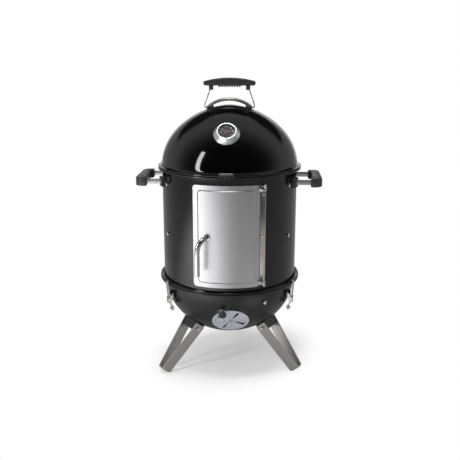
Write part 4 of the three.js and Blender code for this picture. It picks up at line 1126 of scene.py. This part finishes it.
def makeHandleWire():
    bottom, top, pivot = gripShape["bottom"], gripShape["topHalf"], wireShape["pivot"]
    rise = bottom + wireShape["inGrip"]
    half = [(0, rise), (30, rise), (top - 4, rise), (top + 1, bottom), (top + 4.5, bottom - 14)]
    half += [(x, pivot + up) for x, up in wireShape["foot"]]
    path = smoothPath([(x, 0, z) for x, z in mirrored(half[1:])[:9] + half], 9)
    wire = swept("handleWire", path, circle(wireShape["radius"], 16), (0, 1, 0), 50)
    return dressed(wire, "wirePlating", "handle_wire")


def ridgeTree():
    tree, size = newTree("gripRidges", "Pitch", "Width", "Length", "Depth", "Level", whole=["Count"])
    ridge = block(tree, size["Width"], size["Length"], size["Depth"])
    return closeTree(tree, size, onPoints(tree, rowOf(tree, size["Count"], size["Pitch"], size["Level"]), ridge), True)


def makeLidGrip():
    bottom, high, deep = gripShape["bottom"], gripShape["endHeight"], gripShape["depth"] / 2
    tip, sagitta = high / 2, gripShape["rise"] - high
    half = gripShape["halfLength"] - tip
    radius = (half * half + sagitta * sagitta) / (2 * sagitta)
    reach = math.degrees(math.asin(half / radius)) - 2
    outline = arc(half, bottom + tip, tip, -90, 60, 6)
    outline += arc(0, bottom + high + sagitta - radius, radius, 90 - reach, 90 + reach, 40)
    outline += arc(-half, bottom + tip, tip, 120, 270, 6)
    body = softened(moved(prism("gripBody", outline, -deep, deep), facing), gripShape["round"], 6, 50)
    ridge = gripShape["ridgeDeep"] + gripShape["ridgeSunk"]
    ridges = baked("ridges", ridgeTree(), {
        "Count": gripShape["ridges"], "Pitch": gripShape["pitch"] * mm, "Width": gripShape["ridgeWide"] * mm,
        "Length": 2 * (deep - gripShape["ridgeInset"]) * mm, "Depth": ridge * mm,
        "Level": (bottom - gripShape["ridgeDeep"] + ridge / 2) * mm}, "handlePlastic")
    parts, wide, far = [body, softened(ridges, 0.8, 3, 50)], gripShape["postHalf"], gripShape["postDeep"]
    for x in (-gripShape["topHalf"], gripShape["topHalf"]):
        post = box("post", (x - wide, x + wide), (-far, far), bottom - gripShape["postDrop"], bottom + 4)
        parts.append(softened(post, 1.4, 3, 50))
    return dressed(smooth(joined("lidGrip", *parts), 50), "handlePlastic", "lid_grip")


# Thermometer, turned about its stem and set on the dome
dialShape = {"height": 687.0, "bezel": 34.5, "front": 25.5, "rise": 14.0, "face": 23.0, "level": 8.0, "stem": 2.5,
             "stemLength": 70.0, "needle": 17.0, "needleTurn": -132.0, "print": 0.05}
scaleShape = {"first": 228.0, "sweep": 264.0, "major": 7, "minor": 31, "numbersIn": 7.0, "numberSize": 4.9,
              "unitSize": 3.6, "unitDrop": 0.62, "step": 50}
dialPlace = onShell(domeReach, dialShape["height"], 0)


def tickTree():
    tree, size = newTree("dialTicks", "First", "Sweep", "Radius", "Length", "Width", "Level", whole=["Count"])
    row = put(tree, "GeometryNodeMeshLine", {"Count": size["Count"], "Offset": (0.0, 0.0, 0.0)})
    share = calc(tree, "DIVIDE", put(tree, "GeometryNodeInputIndex"), calc(tree, "SUBTRACT", size["Count"], 1.0))
    angle = calc(tree, "SUBTRACT", size["First"], times(tree, share, size["Sweep"]))
    place = xyz(tree, times(tree, size["Radius"], calc(tree, "COSINE", angle)),
                times(tree, size["Radius"], calc(tree, "SINE", angle)), size["Level"])
    spots = put(tree, "GeometryNodeSetPosition", {"Geometry": row, "Position": place})
    mark = block(tree, size["Length"], size["Width"], 0.0001)
    return closeTree(tree, size, onPoints(tree, spots, mark, Rotation=xyz(tree, 0.0, 0.0, angle)), True)


def lettered(name, text, size, x, y, level):
    curve = bpy.data.curves.new(name, "FONT")
    curve.body, curve.size, curve.align_x, curve.align_y = text, size * mm, "CENTER", "CENTER"
    curve.extrude = dialShape["print"] * mm
    return linked(name, fromCurve(name, curve, shifted(x, y, level)))


def makeThermometer():
    front, rise, face, level, outer = (dialShape[key] for key in ("front", "rise", "face", "level", "bezel"))
    line = [(face + 1, -6), (outer, -6), (outer, 0.6)] + arc(outer - 1.4, 0.8, 1.4, 8, 55, 4)
    line += [(front + 1.2, rise - 2.2)] + arc(front - 0.6, rise - 1.2, 1.2, 25, 90, 5)
    line += arc(face + 0.6, rise - 0.8, 0.8, 90, 180, 4)
    line += [(face - 0.5, rise - 1.6), (face + 1, rise - 1.6)]
    ring = moved(lathe("thermometerBezel", line + [line[0]], 120), dialPlace)
    dome = [(0, shell["domeBase"])] + [domePoint(a) for a in np.linspace(0, quarter, 60)]
    carved(ring, lathe("domeSolid", dome, 240))
    dressed(smooth(ring), "bezelSteel", "thermometer_bezel")

    stem, end = dialShape["stem"], -dialShape["stemLength"]
    line = [(0, end), (1.6, end), (stem, end + 1.6), (stem, 0.5), (8, 0.5), (8, level - 2), (face + 0.6, level - 2),
            (face + 0.6, level), (0, level)]
    nut = softened(prism("nut", circle(6, 6), -6.8, -2.8), 0.4, 2, 50)
    dressed(moved(joined("thermometerDial", lathe("disc", line, 96), nut), dialPlace), "dialPrint", "thermometer_dial")

    tree, tickLevel = tickTree(), level + dialShape["print"]
    first, sweep, major = (scaleShape[key] for key in ("first", "sweep", "major"))
    turns = {"First": math.radians(first), "Sweep": math.radians(sweep), "Level": tickLevel * mm}
    marks = []
    for count, inside, length, width in ((major, 2.2, 3.0, 0.5), (scaleShape["minor"], 1.6, 1.7, 0.25)):
        marks.append(baked("ticks", tree, {"Count": count, "Radius": (face - inside) * mm, "Length": length * mm,
                                           "Width": width * mm, **turns}, "dialMarks"))
    for i in range(major):
        angle, reach = math.radians(first - sweep * i / (major - 1)), face - scaleShape["numbersIn"]
        marks.append(lettered("number", str(scaleShape["step"] * (i + 1)), scaleShape["numberSize"],
                              reach * math.cos(angle), reach * math.sin(angle), tickLevel))
    marks.append(lettered("unit", "°C", scaleShape["unitSize"], 0, -face * scaleShape["unitDrop"], tickLevel))
    dressed(moved(joined("dialScale", *marks), dialPlace), "dialMarks", None, "lid")

    tip, over = dialShape["needle"], level + 0.4
    blade = prism("blade", [(-5, -1.1), (tip, -0.4), (tip, 0.4), (-5, 1.1)], over, over + 0.8)
    hub = lathe("hub", [(0, over), (2.4, over), (2.4, over + 1.1), (1.9, over + 1.4), (0, over + 1.5)], 32)
    needle = moved(joined("thermometerNeedle", blade, hub), dialPlace @ turnedTo(dialShape["needleTurn"]))
    dressed(needle, "needlePaint", "thermometer_needle")
    edge, under, top = face + 0.6, rise - 3.6, rise - 2
    glass = lathe("thermometerLens", [(0, under), (edge, under), (edge, top), (0, top)], 96)
    dressed(moved(glass, dialPlace), "lensGlass", "thermometer_lens")


makeLid()
print("lid made")
makeVent("bowl", bowlVent)
makeVent("lid", lidVent)
makeBowl()
print("bowl and vents made")
makeBarrel()
makeDoor()
makeHinge()
makeLever()
print("barrel and door made")
for side, azimuth in legSides.items():
    makeLeg(side, azimuth)
makeGrates()
makePan()
makeBolts()
print("legs, grates and bolts made")
makeSideHandle("right", 0.0)
makeSideHandle("left", 180.0)
makeHeatShield()
makeHandleWire()
makeLidGrip()
makeThermometer()
dressPlain()
print("handles, thermometer and plain pieces made")

# The CAD nodes keep a look of their own for any other use
slotOf = {part["node"]: part["material_slot"] for part in frame["record"]["subparts"]}
for name, cadNode in frame["nodes"].items():
    cadNode.data.materials.clear()
    cadNode.data.materials.append(finishes[nodeFinish[slotOf[name]]])


# Stage: floor, studio world, two area lights, camera
stageShape = {"floorHalf": 6.0, "wide": 0.27, "deep": 0.29, "shear": 0.3, "fadeFrom": 0.55, "fadeTo": 1.05,
              "floorTone": 1.0, "glossTone": 0.44,
              # painted light on the floor, seen only in reflections: centre, inner and outer reach, added brightness
              "pools": (((-0.95, -1.05, 0), 0.25, 1.25, 2.0), ((0.33, -0.42, 0), 0.06, 0.24, 0.7))}
studio = {"diffuse": 0.86, "gapLow": (0.34, 0.44), "gapHigh": (0.70, 0.80), "gapFrom": (0.4, 0.6), "gapDepth": 0.92,
          "gloss": ((0.0, 0.02), (0.2, 0.03), (0.325, 0.1), (0.45, 0.3), (0.6, 0.58), (0.75, 0.45), (0.93, 0.36),
                    (0.958, 0.8), (1.0, 0.95))}
lamps = {
    "stripLight": {"azimuth": -48.5, "distance": 2.5, "height": 1.43, "size": (0.32, 1.95), "power": 27.0, "lean": 3.0},
    "topLight": {"azimuth": -8.0, "distance": 0.65, "height": 2.4, "size": (0.5, 0.3), "power": 9.0, "target": 0.5},
}
cameraPlace = {"lens": 52.36, "sensor": 36.0, "location": (0.0952, -1.8786, 0.882), "pitch": 75.42, "yaw": 2.866}


def seen(tree, *kinds):
    rays = node(tree, "ShaderNodeLightPath").outputs
    total = rays[kinds[0]]
    for kind in kinds[1:]:
        total = calc(tree, "MAXIMUM", total, rays[kind])
    return total


# Paper that fades to plain white away from the part; in reflections it has a darker tone of its own, plus painted pools
# of light at the front left and front right
def makeFloor():
    half = stageShape["floorHalf"]
    mesh = bpy.data.meshes.new("floor")
    mesh.from_pydata([(-half, -half, 0), (half, -half, 0), (half, half, 0), (-half, half, 0)], [], [(0, 1, 2, 3)])
    floor = linked("floor", mesh)
    made = bpy.data.materials.new("floorPaper")
    made.use_nodes = True
    tree = made.node_tree
    tree.nodes.clear()
    place = node(tree, "ShaderNodeTexCoord").outputs["Object"]
    x, y = split(tree, place)["X"], split(tree, place)["Y"]
    across = calc(tree, "DIVIDE", calc(tree, "MULTIPLY_ADD", y, -stageShape["shear"], x), stageShape["wide"])
    spot = xyz(tree, across, calc(tree, "DIVIDE", y, stageShape["deep"]))
    reach = node(tree, "ShaderNodeVectorMath", {0: spot}, operation="LENGTH").outputs["Value"]
    fade = ranged(tree, reach, stageShape["fadeFrom"], stageShape["fadeTo"], curve="SMOOTHSTEP")
    inGloss = stageShape["glossTone"]
    # Painted light: pools of added brightness on the floor, seen only by glossy rays
    for centre, near, far, extra in stageShape["pools"]:
        off = node(tree, "ShaderNodeVectorMath", {0: place, 1: centre}, operation="DISTANCE").outputs["Value"]
        inGloss = calc(tree, "ADD", ranged(tree, off, near, far, extra, 0.0, "SMOOTHSTEP"), inGloss)
    tone = ranged(tree, seen(tree, "Is Glossy Ray"), 0.0, 1.0, stageShape["floorTone"], inGloss)
    white = put(tree, "ShaderNodeEmission", {"Color": (1, 1, 1, 1), "Strength": 1.0})
    share = times(tree, fade, seen(tree, "Is Camera Ray", "Is Transmission Ray"))
    paper = put(tree, "ShaderNodeBsdfDiffuse", {"Color": tone})
    both = put(tree, "ShaderNodeMixShader", {0: share, 1: paper, 2: white})
    node(tree, "ShaderNodeOutputMaterial", {"Surface": both})
    mesh.materials.append(made)


# White to the camera, a grey ramp with a dark gap in gloss, one tone for all else
def makeWorld():
    world = bpy.data.worlds.new("studio")
    bpy.context.scene.world = world
    world.use_nodes = True
    tree = world.node_tree
    tree.nodes.clear()
    direction = split(tree, node(tree, "ShaderNodeTexCoord").outputs["Generated"])
    heading, rise = direction["Y"], direction["Z"]
    ramp = node(tree, "ShaderNodeValToRGB", {"Fac": calc(tree, "MULTIPLY_ADD", heading, 0.5, 0.5)})
    stops = ramp.color_ramp.elements
    for i, (at, level) in enumerate(studio["gloss"]):
        stop = stops[i] if i < 2 else stops.new(at)
        stop.position, stop.color = at, (level, level, level * 1.01, 1)
    mask = studio["gapDepth"]
    for value, key, near, far in ((rise, "gapLow", 0, 1), (rise, "gapHigh", 1, 0), (heading, "gapFrom", 0, 1)):
        mask = times(tree, ranged(tree, value, *studio[key], near, far, "SMOOTHSTEP"), mask)
    gloss = blended(tree, mask, ramp.outputs[0], (0.0, 0.0, 0.0))
    light = blended(tree, seen(tree, "Is Glossy Ray"), (studio["diffuse"],) * 3, gloss)
    white = blended(tree, seen(tree, "Is Camera Ray", "Is Transmission Ray"), light, (1, 1, 1))
    back = put(tree, "ShaderNodeBackground", {"Color": white, "Strength": 1.0})
    node(tree, "ShaderNodeOutputWorld", {"Surface": back})


# A lamp without a target shines level at the part's axis
def makeLight(name, lampShape):
    light = bpy.data.lights.new(name, "AREA")
    light.shape, light.energy = "RECTANGLE", lampShape["power"]
    light.size, light.size_y = lampShape["size"]
    lamp = linked(name, light)
    out = turnedTo(lampShape["azimuth"]) @ Vector((0, -1, 0))
    lamp.location = out * lampShape["distance"] + Vector((0, 0, lampShape["height"]))
    aim = Vector((0, 0, lampShape["target"])) - lamp.location if "target" in lampShape else -out
    lean = Quaternion((0, 0, 1), -math.radians(lampShape.get("lean", 0.0)))
    lamp.rotation_euler = (aim.to_track_quat("-Z", "Y") @ lean).to_euler()


def makeCamera():
    camera = bpy.data.cameras.new("camera")
    camera.lens, camera.sensor_width = cameraPlace["lens"], cameraPlace["sensor"]
    view = linked("camera", camera)
    view.location = cameraPlace["location"]
    view.rotation_euler = (math.radians(cameraPlace["pitch"]), 0, math.radians(cameraPlace["yaw"]))
    bpy.context.scene.camera = view


makeFloor()
makeWorld()
for name, lampShape in lamps.items():
    makeLight(name, lampShape)
makeCamera()
bpy.context.scene.view_settings.view_transform = "Standard"
